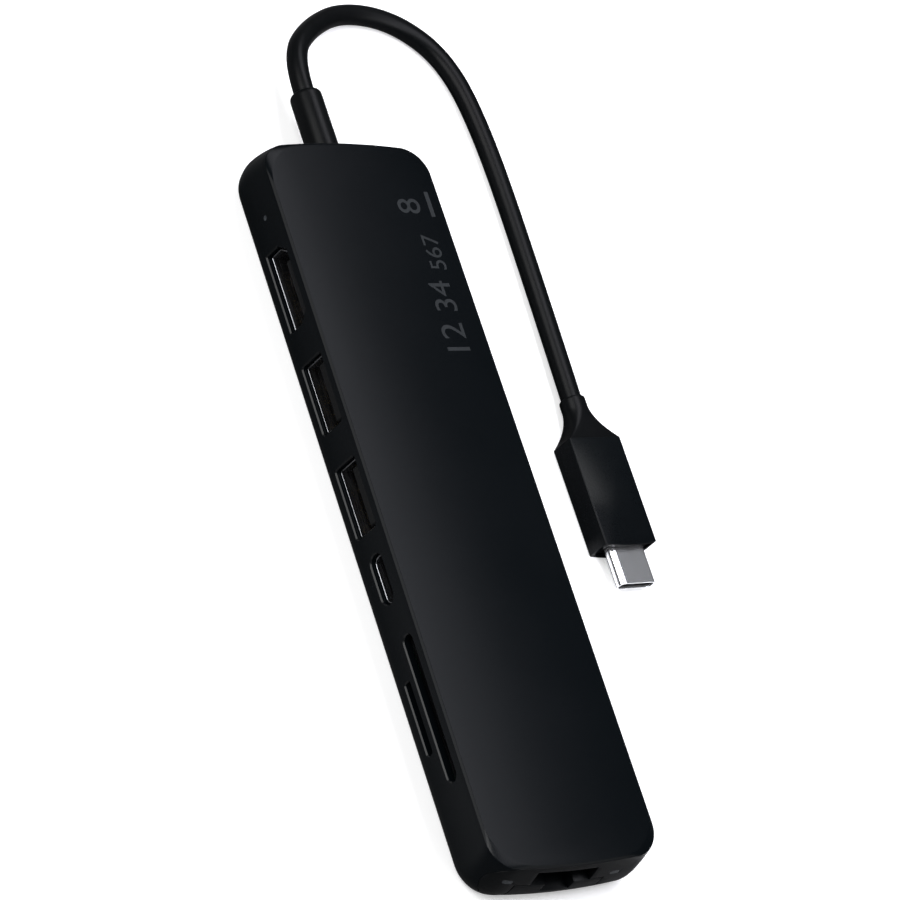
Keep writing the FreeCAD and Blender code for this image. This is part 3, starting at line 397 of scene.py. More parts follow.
def pipe(name, points, axis, start, stop, wall):
    """A hollow bar, open at both ends: the drawn face is inset and its middle removed."""
    piece = draw(name, points, axis, start)
    edit()
    bpy.ops.mesh.inset(thickness=wall * MM)
    bpy.ops.mesh.delete(type="FACE")
    bpy.ops.object.mode_set(mode="OBJECT")
    return pull(piece, axis, stop - start)


# %% [markdown]
# ## Bridging
#
# A form whose section changes along its length is lofted: a row of outlines is bridged one
# after the other, and both ends are closed. All outlines of one loft have the same number
# of points, so the bridges run straight.

# %% Loft
def loft(name, rings):
    """Bridge a row of outlines, each a list of points in space, and close both ends."""
    bpy.ops.object.select_all(action="DESELECT")
    count = len(rings[0])
    bpy.ops.mesh.primitive_circle_add(vertices=count, fill_type="NOTHING")
    piece = bpy.context.object
    piece.name = piece.data.name = name
    edit(False)
    for _ in rings[1:]:
        bpy.ops.mesh.primitive_circle_add(vertices=count, fill_type="NOTHING")
    leave(False)
    mesh = piece.data
    piece.matrix_world = Matrix.Identity(4)
    for vertex, point in zip(mesh.vertices, [p for ring in rings for p in ring]):
        vertex.co = Vector(point) * MM
    mesh.update()
    for k in range(len(rings) - 1):
        select_rings(piece, count, (k, k + 1))
        bpy.ops.mesh.bridge_edge_loops()
        leave(False)
    for k in (0, len(rings) - 1):
        select_rings(piece, count, (k,))
        bpy.ops.mesh.edge_face_add()
        leave(False)
    edit()
    leave()
    return piece


def select_rings(piece, count, wanted):
    """Go into edit mode with only the edges of some of the outlines selected."""
    edit(False)
    bpy.ops.mesh.select_mode(type="EDGE")
    bpy.ops.object.mode_set(mode="OBJECT")
    for edge in piece.data.edges:
        a, b = (v // count for v in edge.vertices)
        edge.select = a == b and a in wanted
    bpy.ops.object.mode_set(mode="EDIT")


# %% [markdown]
# ## Carving and finishing
#
# Holes are cut with exact Booleans, as a mill would cut them, and a bevel modifier then
# breaks the sharp edges so that they catch a line of light. Tools reach about 1 mm past the
# faces they cut, so that no two faces lie in one plane. `finish` shades a piece, gives it
# its material, hangs it on its body and hides the frame nodes that it stands for.

# %% Carve, bevel and finish
def combine(piece, tool, operation):
    """Boolean of two closed pieces. The tool is used up."""
    activate(piece)
    modifier = piece.modifiers.new("combine", "BOOLEAN")
    modifier.operation = operation
    modifier.solver = "EXACT"
    modifier.object = tool
    bpy.ops.object.modifier_apply(modifier=modifier.name)
    bpy.data.objects.remove(tool)
    return piece


def carve(piece, *tools):
    """Cut pieces away one after the other."""
    for tool in tools:
        combine(piece, tool, "DIFFERENCE")
    return piece


def copy_of(piece, name):
    """A copy with a mesh of its own."""
    twin = piece.copy()
    twin.data = piece.data.copy()
    twin.name = twin.data.name = name
    bpy.context.scene.collection.objects.link(twin)
    return twin


def ease_edges(piece, width, segments=2, angle=30):
    """Round every edge that is sharper than an angle."""
    activate(piece)
    modifier = piece.modifiers.new("ease", "BEVEL")
    modifier.width = width * MM
    modifier.segments = segments
    modifier.limit_method = "ANGLE"
    modifier.angle_limit = math.radians(angle)
    modifier.use_clamp_overlap = True
    bpy.ops.object.modifier_apply(modifier=modifier.name)
    return piece


def finish(piece, body, slot, material, *nodes, angle=28):
    """Shade a piece, give it its material, hang it on its body and hide the frame nodes it stands for."""
    activate(piece)
    bpy.ops.object.shade_smooth_by_angle(angle=math.radians(angle))
    piece.data.materials.clear()
    piece.data.materials.append(material)
    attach(piece, body)
    if nodes:
        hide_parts(*nodes)
    print(f"{piece.name}: {len(piece.data.polygons)} faces")
    return piece


def reach(node):
    """Lowest and highest corner of a frame node in mm."""
    low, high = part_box(node)
    return low / MM, high / MM


# %% [markdown]
# ## Finishes
#
# Two effects are shared. `fine_grain` gives a surface its fine roughness: a slow change of
# tone and gloss, and a tiny bump from blasting or moulding. `drawn_metal` stretches noise
# along one axis, as on rolled or drawn sheet. They are node groups, so that each is built
# once and every material only sets its own values.

# %% Shared effects
NOISE_SPAN = (0.35, 0.65)
GRAIN_DEPTH = 0.00002


def new_group(name, inputs, outputs):
    """An empty shader group with named sockets."""
    group = bpy.data.node_groups.new(name, "ShaderNodeTree")
    for label, kind, value in inputs:
        socket = group.interface.new_socket(label, in_out="INPUT", socket_type=kind)
        socket.default_value = value
    for label, kind in outputs:
        group.interface.new_socket(label, in_out="OUTPUT", socket_type=kind)
    entry = group.nodes.new("NodeGroupInput")
    leaving = group.nodes.new("NodeGroupOutput")
    return group, entry, leaving


def grain_group(name, stretch):
    """Noise-driven tone, roughness and bump in Object coordinates."""
    group, entry, leaving = new_group(
        name,
        [("Tone A", "NodeSocketColor", (0.01, 0.01, 0.01, 1)),
         ("Tone B", "NodeSocketColor", (0.02, 0.02, 0.02, 1)),
         ("Rough Low", "NodeSocketFloat", 0.3),
         ("Rough High", "NodeSocketFloat", 0.4),
         ("Patch Scale", "NodeSocketFloat", 60.0),
         ("Grain Scale", "NodeSocketFloat", 4000.0),
         ("Grain Height", "NodeSocketFloat", 0.1)],
        [("Color", "NodeSocketColor"), ("Roughness", "NodeSocketFloat"),
         ("Normal", "NodeSocketVector")])
    nodes, links = group.nodes, group.links
    place = nodes.new("ShaderNodeTexCoord")
    mapping = nodes.new("ShaderNodeMapping")
    mapping.inputs["Scale"].default_value = stretch
    links.new(place.outputs["Object"], mapping.inputs["Vector"])
    patch = nodes.new("ShaderNodeTexNoise")
    patch.inputs["Detail"].default_value = 4
    links.new(mapping.outputs["Vector"], patch.inputs["Vector"])
    links.new(entry.outputs["Patch Scale"], patch.inputs["Scale"])
    fine = nodes.new("ShaderNodeTexNoise")
    fine.inputs["Detail"].default_value = 3
    links.new(mapping.outputs["Vector"], fine.inputs["Vector"])
    links.new(entry.outputs["Grain Scale"], fine.inputs["Scale"])
    tone = nodes.new("ShaderNodeMix")
    tone.data_type = "RGBA"
    links.new(patch.outputs["Fac"], tone.inputs["Factor"])
    links.new(entry.outputs["Tone A"], tone.inputs["A"])
    links.new(entry.outputs["Tone B"], tone.inputs["B"])
    half_patch = math_node(group, "MULTIPLY", patch.outputs["Fac"], 0.5)
    both = math_node(group, "MULTIPLY_ADD", fine.outputs["Fac"], 0.5, half_patch)
    rough = nodes.new("ShaderNodeMapRange")
    rough.inputs["From Min"].default_value, rough.inputs["From Max"].default_value = NOISE_SPAN
    links.new(both, rough.inputs["Value"])
    links.new(entry.outputs["Rough Low"], rough.inputs["To Min"])
    links.new(entry.outputs["Rough High"], rough.inputs["To Max"])
    bump = nodes.new("ShaderNodeBump")
    bump.inputs["Distance"].default_value = GRAIN_DEPTH
    links.new(fine.outputs["Fac"], bump.inputs["Height"])
    links.new(entry.outputs["Grain Height"], bump.inputs["Strength"])
    links.new(tone.outputs["Result"], leaving.inputs["Color"])
    links.new(rough.outputs["Result"], leaving.inputs["Roughness"])
    links.new(bump.outputs["Normal"], leaving.inputs["Normal"])
    return group


fine_grain = grain_group("fine_grain", (1, 1, 1))
drawn_metal = grain_group("drawn_metal", (0.08, 1, 1))
print("shared effects", [group.name for group in bpy.data.node_groups])

# %% [markdown]
# ## Materials
#
# Every black on the hub is a slightly different black: satin anodised metal, moulded
# plastic, and rubber. They reflect little, so each has a low refractive index. The
# metals are rolled or plated sheet.

# %% Materials
def surface(name, group, tone_a, tone_b, rough, patch, grain, height, **own):
    """A material whose colour, roughness and normal come from a shared effect."""
    material = bpy.data.materials.new(name)
    material.use_nodes = True
    nodes, links = material.node_tree.nodes, material.node_tree.links
    shader = nodes["Principled BSDF"]
    effect = nodes.new("ShaderNodeGroup")
    effect.node_tree = group
    effect.inputs["Tone A"].default_value = (*tone_a, 1)
    effect.inputs["Tone B"].default_value = (*tone_b, 1)
    effect.inputs["Rough Low"].default_value = rough[0]
    effect.inputs["Rough High"].default_value = rough[1]
    effect.inputs["Patch Scale"].default_value = patch
    effect.inputs["Grain Scale"].default_value = grain
    effect.inputs["Grain Height"].default_value = height
    links.new(effect.outputs["Color"], shader.inputs["Base Color"])
    links.new(effect.outputs["Roughness"], shader.inputs["Roughness"])
    links.new(effect.outputs["Normal"], shader.inputs["Normal"])
    for label, value in own.items():
        shader.inputs[label.replace("_", " ")].default_value = value
    return material


black_anodised = surface("black_anodised", fine_grain, (0.0008, 0.0014, 0.0019), (0.0014, 0.0020, 0.0026),
                         rough=(0.22, 0.27), patch=40, grain=5200, height=0.12, IOR=1.15)
# Partly the bare cut finish, partly a painted highlight: a lighter, glossier black for the socket
# chamfers.
cut_edge = surface("cut_edge", fine_grain, (0.0030, 0.0034, 0.0038), (0.0050, 0.0054, 0.0058),
                   rough=(0.2, 0.25), patch=200, grain=5200, height=0.1, IOR=1.27)
black_moulding = surface("black_moulding", fine_grain, (0.0012, 0.0017, 0.0021), (0.0022, 0.0027, 0.0031),
                         rough=(0.32, 0.42), patch=90, grain=3600, height=0.3, IOR=1.18)
lead_jacket = surface("lead_jacket", fine_grain, (0.0012, 0.0015, 0.0018), (0.0022, 0.0025, 0.0028),
                      rough=(0.30, 0.40), patch=120, grain=2600, height=0.3, IOR=1.18)
plug_black = surface("plug_black", fine_grain, (0.0008, 0.0014, 0.0019), (0.0014, 0.0020, 0.0026),
                     rough=(0.26, 0.34), patch=60, grain=5200, height=0.15, IOR=1.18)
dark_nickel = surface("dark_nickel", drawn_metal, (0.22, 0.225, 0.24), (0.30, 0.305, 0.32),
                      rough=(0.2, 0.32), patch=300, grain=2600, height=0.2, Metallic=1.0)
plug_steel = surface("plug_steel", drawn_metal, (0.80, 0.81, 0.83), (0.88, 0.89, 0.91),
                     rough=(0.14, 0.24), patch=300, grain=3000, height=0.12, Metallic=0.93)
plain_steel = surface("plain_steel", drawn_metal, (0.45, 0.45, 0.46), (0.58, 0.58, 0.59),
                      rough=(0.25, 0.4), patch=300, grain=2400, height=0.2, Metallic=1.0)
gold_plate = surface("gold_plate", fine_grain, (0.72, 0.50, 0.20), (0.82, 0.60, 0.26),
                     rough=(0.2, 0.32), patch=400, grain=3000, height=0.1, Metallic=1.0)
socket_black = surface("socket_black", fine_grain, (0.0030, 0.0033, 0.0036), (0.0050, 0.0053, 0.0056),
                       rough=(0.35, 0.5), patch=150, grain=3000, height=0.4, IOR=1.22)
board_green = surface("board_green", fine_grain, (0.006, 0.045, 0.022), (0.012, 0.07, 0.035),
                      rough=(0.3, 0.45), patch=500, grain=3000, height=0.2)
chip_black = surface("chip_black", fine_grain, (0.012, 0.012, 0.013), (0.02, 0.02, 0.021),
                     rough=(0.5, 0.65), patch=200, grain=3500, height=0.5)
ceramic_tan = surface("ceramic_tan", fine_grain, (0.38, 0.27, 0.16), (0.48, 0.35, 0.21),
                      rough=(0.4, 0.55), patch=400, grain=3000, height=0.3)
tray_grey = surface("tray_grey", fine_grain, (0.04, 0.04, 0.045), (0.055, 0.055, 0.06),
                    rough=(0.45, 0.6), patch=100, grain=3000, height=0.4)
light_guide = surface("light_guide", fine_grain, (0.010, 0.012, 0.014), (0.032, 0.036, 0.040),
                      rough=(0.2, 0.3), patch=900, grain=2500, height=0.1, IOR=1.3)
print_grey = surface("print_grey", fine_grain, (0.012, 0.014, 0.015), (0.018, 0.020, 0.022),
                     rough=(0.4, 0.5), patch=500, grain=4000, height=0.3, IOR=1.15)
print("materials", len(bpy.data.materials))

# %% [markdown]
# ## Frame pieces that keep their shape
#
# The boards, chips, cages and springs inside the hub already have the right shape. They
# only need the finish that the record names for them.

# %% Finishes for the frame's own pieces
FRAME_FINISH = {"anodised_black": black_anodised, "cap_plastic": black_moulding,
                "tray_plastic": tray_grey, "circuit_board": board_green,
                "steel": plain_steel, "socket_metal": dark_nickel,
                "socket_plastic": socket_black, "gold_contact": gold_plate,
                "light_guide": light_guide, "chip_black": chip_black,
                "capacitor_tan": ceramic_tan, "cord_jacket": lead_jacket,
                "plug_black": plug_black, "plug_steel": plug_steel}
for row in frame["record"]["subparts"]:
    node = frame["nodes"][row["node"]]
    node.data.materials.clear()
    node.data.materials.append(FRAME_FINISH[row["material_slot"]])
lead.data.materials.append(lead_jacket)
print("frame nodes finished", len(frame["nodes"]))

# %% [markdown]
# ## The hub's outer form
#
# The long sides are flat and upright. The ends bow outwards in plan and also bulge at half
# height, and a narrow chamfer runs round the top, wider at the corners. The form is
# lofted from outlines at several heights. The sleeve and both end caps are then cut from
# copies of it, so that they stay flush.

# %% Form
HALF_L = reach("ethernet_jaw")[1].x
HALF_W = reach("housing_sleeve")[1].y
HEIGHT = reach("housing_sleeve")[1].z
CORNER, TOP_CORNER, BOW = 5.6, 8.5, 1.2
CHAMFER, BOTTOM_ROUND = 0.4, 1.3
TOP_INSET, BAND_INSET, BOTTOM_INSET, BULGE_Z = 1.9, 1.4, 1.6, 3.8
PRINT_DEPTH = 0.01


def plan(z, end_inset, side_inset, corner, steps=14):
    """Outline of the hub at one height."""
    half_w, half_l = HALF_W - side_inset, HALF_L - end_inset
    bow_r = (BOW ** 2 + half_w ** 2) / (2 * BOW)
    bow_x = half_l - bow_r
    corner_y = half_w - corner
    corner_x = bow_x + math.sqrt((bow_r - corner) ** 2 - corner_y ** 2)
    join = math.atan2(corner_y, corner_x - bow_x)
    end = []
    for i in range(steps):
        angle = -math.pi / 2 + (math.pi / 2 - join) * i / steps
        end.append((corner_x + corner * math.cos(angle), -corner_y + corner * math.sin(angle)))
    for i in range(steps):
        angle = -join + 2 * join * i / steps
        end.append((bow_x + bow_r * math.cos(angle), bow_r * math.sin(angle)))
    for i in range(steps + 1):
        angle = join + (math.pi / 2 - join) * i / steps
        end.append((corner_x + corner * math.cos(angle), corner_y + corner * math.sin(angle)))
    return [(x, y, z) for x, y in end] + [(-x, -y, z) for x, y in end]


def end_lean(z):
    """How far the ends lean in at a height below the chamfer."""
    if z < BULGE_Z:
        return BOTTOM_INSET * (1 - z / BULGE_Z) ** 2
    return BAND_INSET * ((z - BULGE_Z) / (HEIGHT - CHAMFER - BULGE_Z)) ** 1.6


heights = [0.0, 0.17, 0.45, 0.85, BOTTOM_ROUND, 2.0, 2.9, BULGE_Z, 5.2, 6.6, 7.9, 9.2]
outlines = []
for z in heights + [HEIGHT - CHAMFER]:
    drop = max(0.0, BOTTOM_ROUND - z)
    side = BOTTOM_ROUND - math.sqrt(BOTTOM_ROUND ** 2 - drop ** 2)
    outlines.append(plan(z, end_lean(z), side, CORNER))
outlines.append(plan(HEIGHT - PRINT_DEPTH, TOP_INSET, CHAMFER, TOP_CORNER))
form = loft("form", outlines)
ease_edges(form, 0.07, 3, 12)
print("form faces", len(form.data.polygons))

# %% [markdown]
# ## Sleeve
#
# The sleeve is one length of aluminium tube. Its outside is the form, and it is hollowed
# from end to end, with a pill-shaped seat for a cap in each end and a slot in the floor
# where the jaw swings. Carving the form keeps the outer faces exactly as they were lofted.

# %% Sleeve
WALL_SIDE, WALL_FLAT, CAVITY_CORNER = 1.5, 0.9, 3.2
SEAT_DEPTH, SEAT_SIZE = 5.5, (34.0, 10.4)
JAW_CLEAR, JAW_SLOT_TOP = 0.2, 1.4
CAVITY = ((0, HEIGHT / 2), (2 * (HALF_W - WALL_SIDE), HEIGHT - 2 * WALL_FLAT))

sleeve = copy_of(form, "hub_sleeve")
hollow = bar("hollow", panel(*CAVITY, CAVITY_CORNER), "x", -HALF_L - 1, HALF_L + 1)
seats = [bar("seat", panel((0, HEIGHT / 2), SEAT_SIZE, SEAT_SIZE[1] / 2, 16), "x",
             side * (HALF_L - SEAT_DEPTH), side * (HALF_L + 1)) for side in (-1, 1)]
jaw_low, jaw_high = reach("ethernet_jaw")
slot_middle = (jaw_low.y + jaw_high.y) / 2
slot_half = (jaw_high.y - jaw_low.y) / 2 + JAW_CLEAR
slot_left, slot_right = slot_middle - slot_half, slot_middle + slot_half
jaw_slot = bar("jaw_slot", [(slot_left, -1), (slot_right, -1), (slot_right, JAW_SLOT_TOP),
                            (slot_left, JAW_SLOT_TOP)], "x", jaw_low.x - JAW_CLEAR, HALF_L + 1)
carve(sleeve, hollow, *seats, jaw_slot)
print("hollowed sleeve", len(sleeve.data.polygons))

# %% [markdown]
# ## Socket outlines
#
# Four sockets and two card slots open through one long side. Each opening is a milling tool
# with the socket's own outline and a little clearance. The tool is drawn larger at the
# wall's face and inset from there, so that it leaves a fine chamfer. A bevel on the finished
# sleeve would do it too, but would round the sleeve's other sharp edges as well.

# %% Socket outlines
FACE = -HALF_W
CUT_CLEAR, MOUTH_CHAMFER = 0.15, 0.22
SHOULDER_DROP, SHOULDER_IN, HDMI_CORNER = 2.33, 1.8, 0.35


def pick_end(piece, choose):
    """Stay in edit mode with only the flat face at one end along Y selected."""
    end = choose(face.center.y for face in piece.data.polygons)
    edit(False)
    bpy.ops.object.mode_set(mode="OBJECT")
    for face in piece.data.polygons:
        face.select = abs(face.center.y - end) < 1e-7
    bpy.ops.object.mode_set(mode="EDIT")
    bpy.ops.mesh.select_mode(type="FACE")


def milling_tool(name, outline, depth):
    """A tool from outside the wall to a depth, with a chamfer at the wall's face.
    outline(grow) gives its section."""
    tool = bar(name, outline(MOUTH_CHAMFER), "y", FACE - 1, FACE)
    pick_end(tool, max)
    bpy.ops.mesh.inset(thickness=MOUTH_CHAMFER * MM, depth=MOUTH_CHAMFER * MM)
    bpy.ops.mesh.extrude_region_move(
        TRANSFORM_OT_translate={"value": (0, (depth - MOUTH_CHAMFER) * MM, 0)})
    leave()
    return tool


def box_middle(node):
    """Middle and size of a frame node in mm."""
    low, high = reach(node)
    return (low + high) / 2, high - low


hdmi_middle, hdmi_size = box_middle("hdmi_shell")


def hdmi_outline(grow, wall=0.0):
    """The socket's outline: full width below, sloping shoulders above."""
    half = hdmi_size.x / 2 - wall + grow
    low = hdmi_middle.z - hdmi_size.z / 2 + wall - grow
    high = hdmi_middle.z + hdmi_size.z / 2 - wall + grow
    shoulder = high - SHOULDER_DROP + wall * 0.3
    top = half - SHOULDER_IN
    x = hdmi_middle.x
    return rounded([(x - half, low), (x + half, low), (x + half, shoulder),
                    (x + top, high), (x - top, high), (x - half, shoulder)], HDMI_CORNER, 4)


def hdmi_opening(grow):
    """The milled opening round the HDMI socket."""
    return hdmi_outline(grow + CUT_CLEAR)


def socket_opening(node, radius):
    """The milled opening round another socket, as a function of its growth."""
    middle, size = box_middle(node)

    def opening(grow):
        return panel((middle.x, middle.z), (size.x, size.z), radius, 10, grow + CUT_CLEAR)

    return opening


print("wall face at", round(FACE, 2), "mm, chamfers", MOUTH_CHAMFER, "mm")

# %% [markdown]
# ## Socket openings
#
# The openings are milled one after the other. The full-size card's slot has round ends, the
# small card's has rounded corners, and a pin-sized hole is drilled for the status light. The
# fine chamfers are cut after anodising, and their lighter, glossier material is partly that
# cut finish and partly a painted highlight that shows them as a bright line: they are the
# faces near the wall's face whose normals lie halfway between outwards and sideways.

# %% Socket openings
SD_SLOT = ((38.4, 7.5), (26.9, 2.6))
MICROSD_SLOT, MICROSD_CORNER = ((38.75, 3.75), (13.3, 1.5)), 0.5
SOCKET_DEPTH, CARD_DEPTH = WALL_SIDE + 1.6, WALL_SIDE + 0.1
USB_A_CORNER, USB_C_CORNER = 0.5, 1.58


def sd_opening(grow):
    """The full-size card's slot."""
    return panel(*SD_SLOT, SD_SLOT[1][1] / 2, 10, grow)


def microsd_opening(grow):
    """The small card's slot."""
    return panel(*MICROSD_SLOT, MICROSD_CORNER, 8, grow)


light_middle, light_size = box_middle("status_light_pipe")
light_hole = ring_of(light_size.x / 2, (light_middle.x, light_middle.z), 24)
usb_c_opening = socket_opening("usb_c_socket_shell", USB_C_CORNER)
carve(sleeve,
      milling_tool("hdmi_tool", hdmi_opening, SOCKET_DEPTH),
      milling_tool("usb_a_tool", socket_opening("usb_a_shell_1", USB_A_CORNER), SOCKET_DEPTH),
      milling_tool("usb_a_tool", socket_opening("usb_a_shell_2", USB_A_CORNER), SOCKET_DEPTH),
      milling_tool("usb_c_tool", usb_c_opening, SOCKET_DEPTH),
      milling_tool("sd_tool", sd_opening, CARD_DEPTH),
      milling_tool("microsd_tool", microsd_opening, CARD_DEPTH),
      bar("light_tool", light_hole, "y", FACE - 1, FACE + CARD_DEPTH))
finish(sleeve, "hub", "anodised_black", black_anodised, "housing_sleeve")
# The chamfer faces take the lighter material, partly cut finish and partly a painted highlight line.
sleeve.data.materials.append(cut_edge)
rims = [f for f in sleeve.data.polygons if f.center.y < (FACE + MOUTH_CHAMFER) * MM
        and 0.6 < -f.normal.y < 0.8 and abs(f.center.x) < (HALF_L - CORNER) * MM
        and BOTTOM_ROUND * MM < f.center.z < (HEIGHT - 1) * MM]
for face in rims:
    face.material_index = 1
print("chamfer faces", len(rims))

# %% [markdown]
# ## End caps
#
# Each cap is a moulded plug with a flange that fills the seat in the sleeve's end. Both keep
# only what they share with the form, so their faces follow its bulge. The network end has a
# stepped opening, two small light windows and room for the jaw.

# %% End caps
CAP_BACK, CAP_WALL = HALF_L - 16.3, 3.7
LEAD_CAP_BACK, LEAD_HOLE_R = HALF_L - 10, 3.02
FIT, SEAM = 0.12, 0.08
CAP_EASE = 0.1


def cap_blank(name, side, back):
    """The flange in the sleeve's seat with the part that slides into the sleeve."""
    seat_size = (SEAT_SIZE[0] - 2 * SEAM, SEAT_SIZE[1] - 2 * SEAM)
    flange = bar(name, panel((0, HEIGHT / 2), seat_size, seat_size[1] / 2, 16), "x",
                 side * (HALF_L - SEAT_DEPTH + SEAM), side * (HALF_L + 1))
    fitted = (CAVITY[1][0] - 2 * FIT, CAVITY[1][1] - 2 * FIT)
    body = bar("body", panel(CAVITY[0], fitted, CAVITY_CORNER - FIT), "x",
               side * back, side * (HALF_L - SEAT_DEPTH + 1))
    combine(flange, body, "UNION")
    return combine(flange, copy_of(form, "form_copy"), "INTERSECT")


def block(name, x, y, z):
    """A plain box between low and high values, used as a cutting tool."""
    return bar(name, [(y[0], z[0]), (y[1], z[0]), (y[1], z[1]), (y[0], z[1])], "x", *x)


MOUTH_HALF, MOUTH_TOP = 6.4, 9.6
LIGHT_Z, LIGHT_TALL, LIGHT_CORNER = 7.2, 0.9, 0.3
JAW_TOP = jaw_high.z
wall_x = HALF_L - CAP_WALL
bay_y = (slot_left, slot_right)


def light_outline(node, gap, corner):
    """Section of a light guide at the cap's face, smaller by a gap."""
    low, high = reach(node)
    return panel(((low.y + high.y) / 2, LIGHT_Z), (high.y - low.y - gap, LIGHT_TALL - gap),
                 corner, 5)


cap = cap_blank("ethernet_cap", 1, CAP_BACK)
light_tools = [bar("light_tool", light_outline(node, 0, LIGHT_CORNER), "x", CAP_BACK - 1,
                   HALF_L + 1) for node in ("link_light_pipe", "activity_light_pipe")]
carve(cap,
      block("bay", (CAP_BACK - 1, HALF_L - SEAT_DEPTH + SEAM), bay_y, (-1, HEIGHT + 1)),
      block("bay", (CAP_BACK - 1, wall_x), bay_y, (-1, HEIGHT - WALL_FLAT)),
      block("mouth", (wall_x - 1, HALF_L + 1),
            (slot_middle - MOUTH_HALF, slot_middle + MOUTH_HALF), (JAW_TOP, MOUTH_TOP)),
      block("jaw_room", (wall_x - 1, HALF_L + 1), bay_y, (-1, JAW_TOP + JAW_CLEAR)),
      *light_tools)
ease_edges(cap, CAP_EASE, 2, 40)
finish(cap, "hub", "cap_plastic", black_moulding, "ethernet_end_cap")

lead_cap = cap_blank("lead_cap", -1, LEAD_CAP_BACK)
carve(lead_cap, bar("lead_hole", ring_of(LEAD_HOLE_R, (0, HEIGHT / 2)), "x", -HALF_L - 1,
                    1 - LEAD_CAP_BACK))
ease_edges(lead_cap, CAP_EASE, 2, 40)
finish(lead_cap, "hub", "cap_plastic", black_moulding, "cable_end_cap")

# %% [markdown]
# ## Jaw
#
# The jaw is the lower half of the network socket: a full-height socket doesn't fit in so
# thin a hub. It is cut from the form like the cap, so that it closes flush, has a pocket for
# the plug and a notch for its latch, and swings on a pin at its rear.

# %% Jaw
HINGE, BARREL_R, PIN_HOLE_R = (57.2, 2.0), 2.0, 0.55
POCKET_HALF, POCKET_FLOOR, LATCH_HALF, LATCH_LOW = 6.6, 1.0, 3.1, 4.1
LIP_X = HALF_L - 3.9
jaw = block("network_jaw", (HINGE[0], HALF_L + 1), (jaw_low.y, jaw_high.y), (-1, JAW_TOP))
combine(jaw, copy_of(form, "form_copy"), "INTERSECT")
combine(jaw, bar("barrel", ring_of(BARREL_R, HINGE), "y", jaw_low.y, jaw_high.y), "UNION")
carve(jaw,
      block("pocket", (HINGE[0] - 3, LIP_X),
            (slot_middle - POCKET_HALF, slot_middle + POCKET_HALF), (POCKET_FLOOR, JAW_TOP + 1)),
      block("latch", (LIP_X - 1, HALF_L + 1),
            (slot_middle - LATCH_HALF, slot_middle + LATCH_HALF), (LATCH_LOW, JAW_TOP + 1)),
      bar("pin_hole", ring_of(PIN_HOLE_R, HINGE, 24), "y", jaw_low.y - 1, jaw_high.y + 1))
ease_edges(jaw, CAP_EASE, 2, 40)
finish(jaw, "jaw", "cap_plastic", black_moulding, "ethernet_jaw")

# %% [markdown]
# ## Light windows
#
# Two small clear windows beside the network socket carry the link lights to the face. They
# are cut from the form too, so that their faces lie flush in the cap's curved face.

# %% Light windows
WINDOW_GAP, WINDOW_CORNER = 0.04, 0.28

for node in ("link_light_pipe", "activity_light_pipe"):
    window = bar(node.replace("pipe", "window"),
                 light_outline(node, WINDOW_GAP, WINDOW_CORNER), "x",
                 reach(node)[0].x, HALF_L + 1)
    combine(window, copy_of(form, "form_copy"), "INTERSECT")
    finish(window, "hub", "light_guide", light_guide, node)
bpy.data.objects.remove(form)

# %% [markdown]
# ## Shells, tongues and contacts
#
# The sockets share three parts. A shell is one folded sheet, with sprung leaves pressed out
# of its broad walls. A tongue is a thin black bar with a bevelled tip that leads a plug in.
# The contacts are flat gold strips. Each is drawn and pulled from its own outline, and the
# tongue's tip is extruded once more and scaled, as a bevel on one end is made by hand.

# %% Socket parts
SHELL_WALL = 0.3
TONGUE_CORNER, TONGUE_BEVEL, TONGUE_TAPER = 0.2, 0.25, 0.7
STRIP_THICK, STRIP_CORNER, STRIP_GAP = 0.1, 0.04, 0.1
LEAF_THICK, LEAF_FOOT, LEAF_TAIL = 0.12, 0.6, 0.8


def mouth_of(node):
    """Front and back of a socket along Y."""
    low, high = reach(node)
    return low.y, high.y


def tongue_bar(name, middle, size, start, stop):
    """A socket's tongue with a bevelled tip."""
    tongue = bar(name, panel(middle, size, TONGUE_CORNER, 4), "y", start + TONGUE_BEVEL, stop)
    pick_end(tongue, min)
    bpy.ops.mesh.extrude_region_move(
        TRANSFORM_OT_translate={"value": (0, -TONGUE_BEVEL * MM, 0)})
    bpy.ops.transform.resize(value=(1 - 2 * TONGUE_BEVEL / size[0], 1,
                                    1 - 2 * TONGUE_BEVEL / size[1] * TONGUE_TAPER))
    leave()
    return tongue


def merge(first, *others):
    """Join closed pieces into one object."""
    activate(first)
    for other in others:
        other.select_set(True)
    bpy.ops.object.join()
    return first


def contact_strip(name, x, z, width, start, stop):
    """A flat contact with eased edges."""
    return bar(name, panel((x, z), (width, STRIP_THICK), STRIP_CORNER, 2), "y", start, stop)


def leaf_spring(x, wall_z, side, width, start, stop, rise):
    """A sprung leaf that stands off a shell wall and bends back to it."""
    profile = [(start, wall_z), (start + LEAF_FOOT, wall_z - side * rise * 0.3),
               ((start + stop) / 2, wall_z - side * rise),
               (stop - LEAF_TAIL, wall_z - side * rise * 0.4), (stop, wall_z)]
    outline = profile + [(y, z + side * LEAF_THICK) for y, z in reversed(profile)]
    if side < 0:
        outline.reverse()
    return bar("leaf", outline, "x", x - width / 2, x + width / 2)


print("shell wall", SHELL_WALL, "mm")

# %% [markdown]
# ## HDMI socket
#
# The widest socket has sloping shoulders that key its plug. Its tongue stands in the middle
# and carries ten contacts on each face. The leaves press on the plug from above and below.

# %% HDMI socket
HDMI_TONGUE, HDMI_TIP, HDMI_BACK = (11.0, 1.5), 1.2, 3.0
HDMI_STRIP_WIDE, HDMI_STRIP_Z, HDMI_CONTACTS = 0.35, 0.79, 10

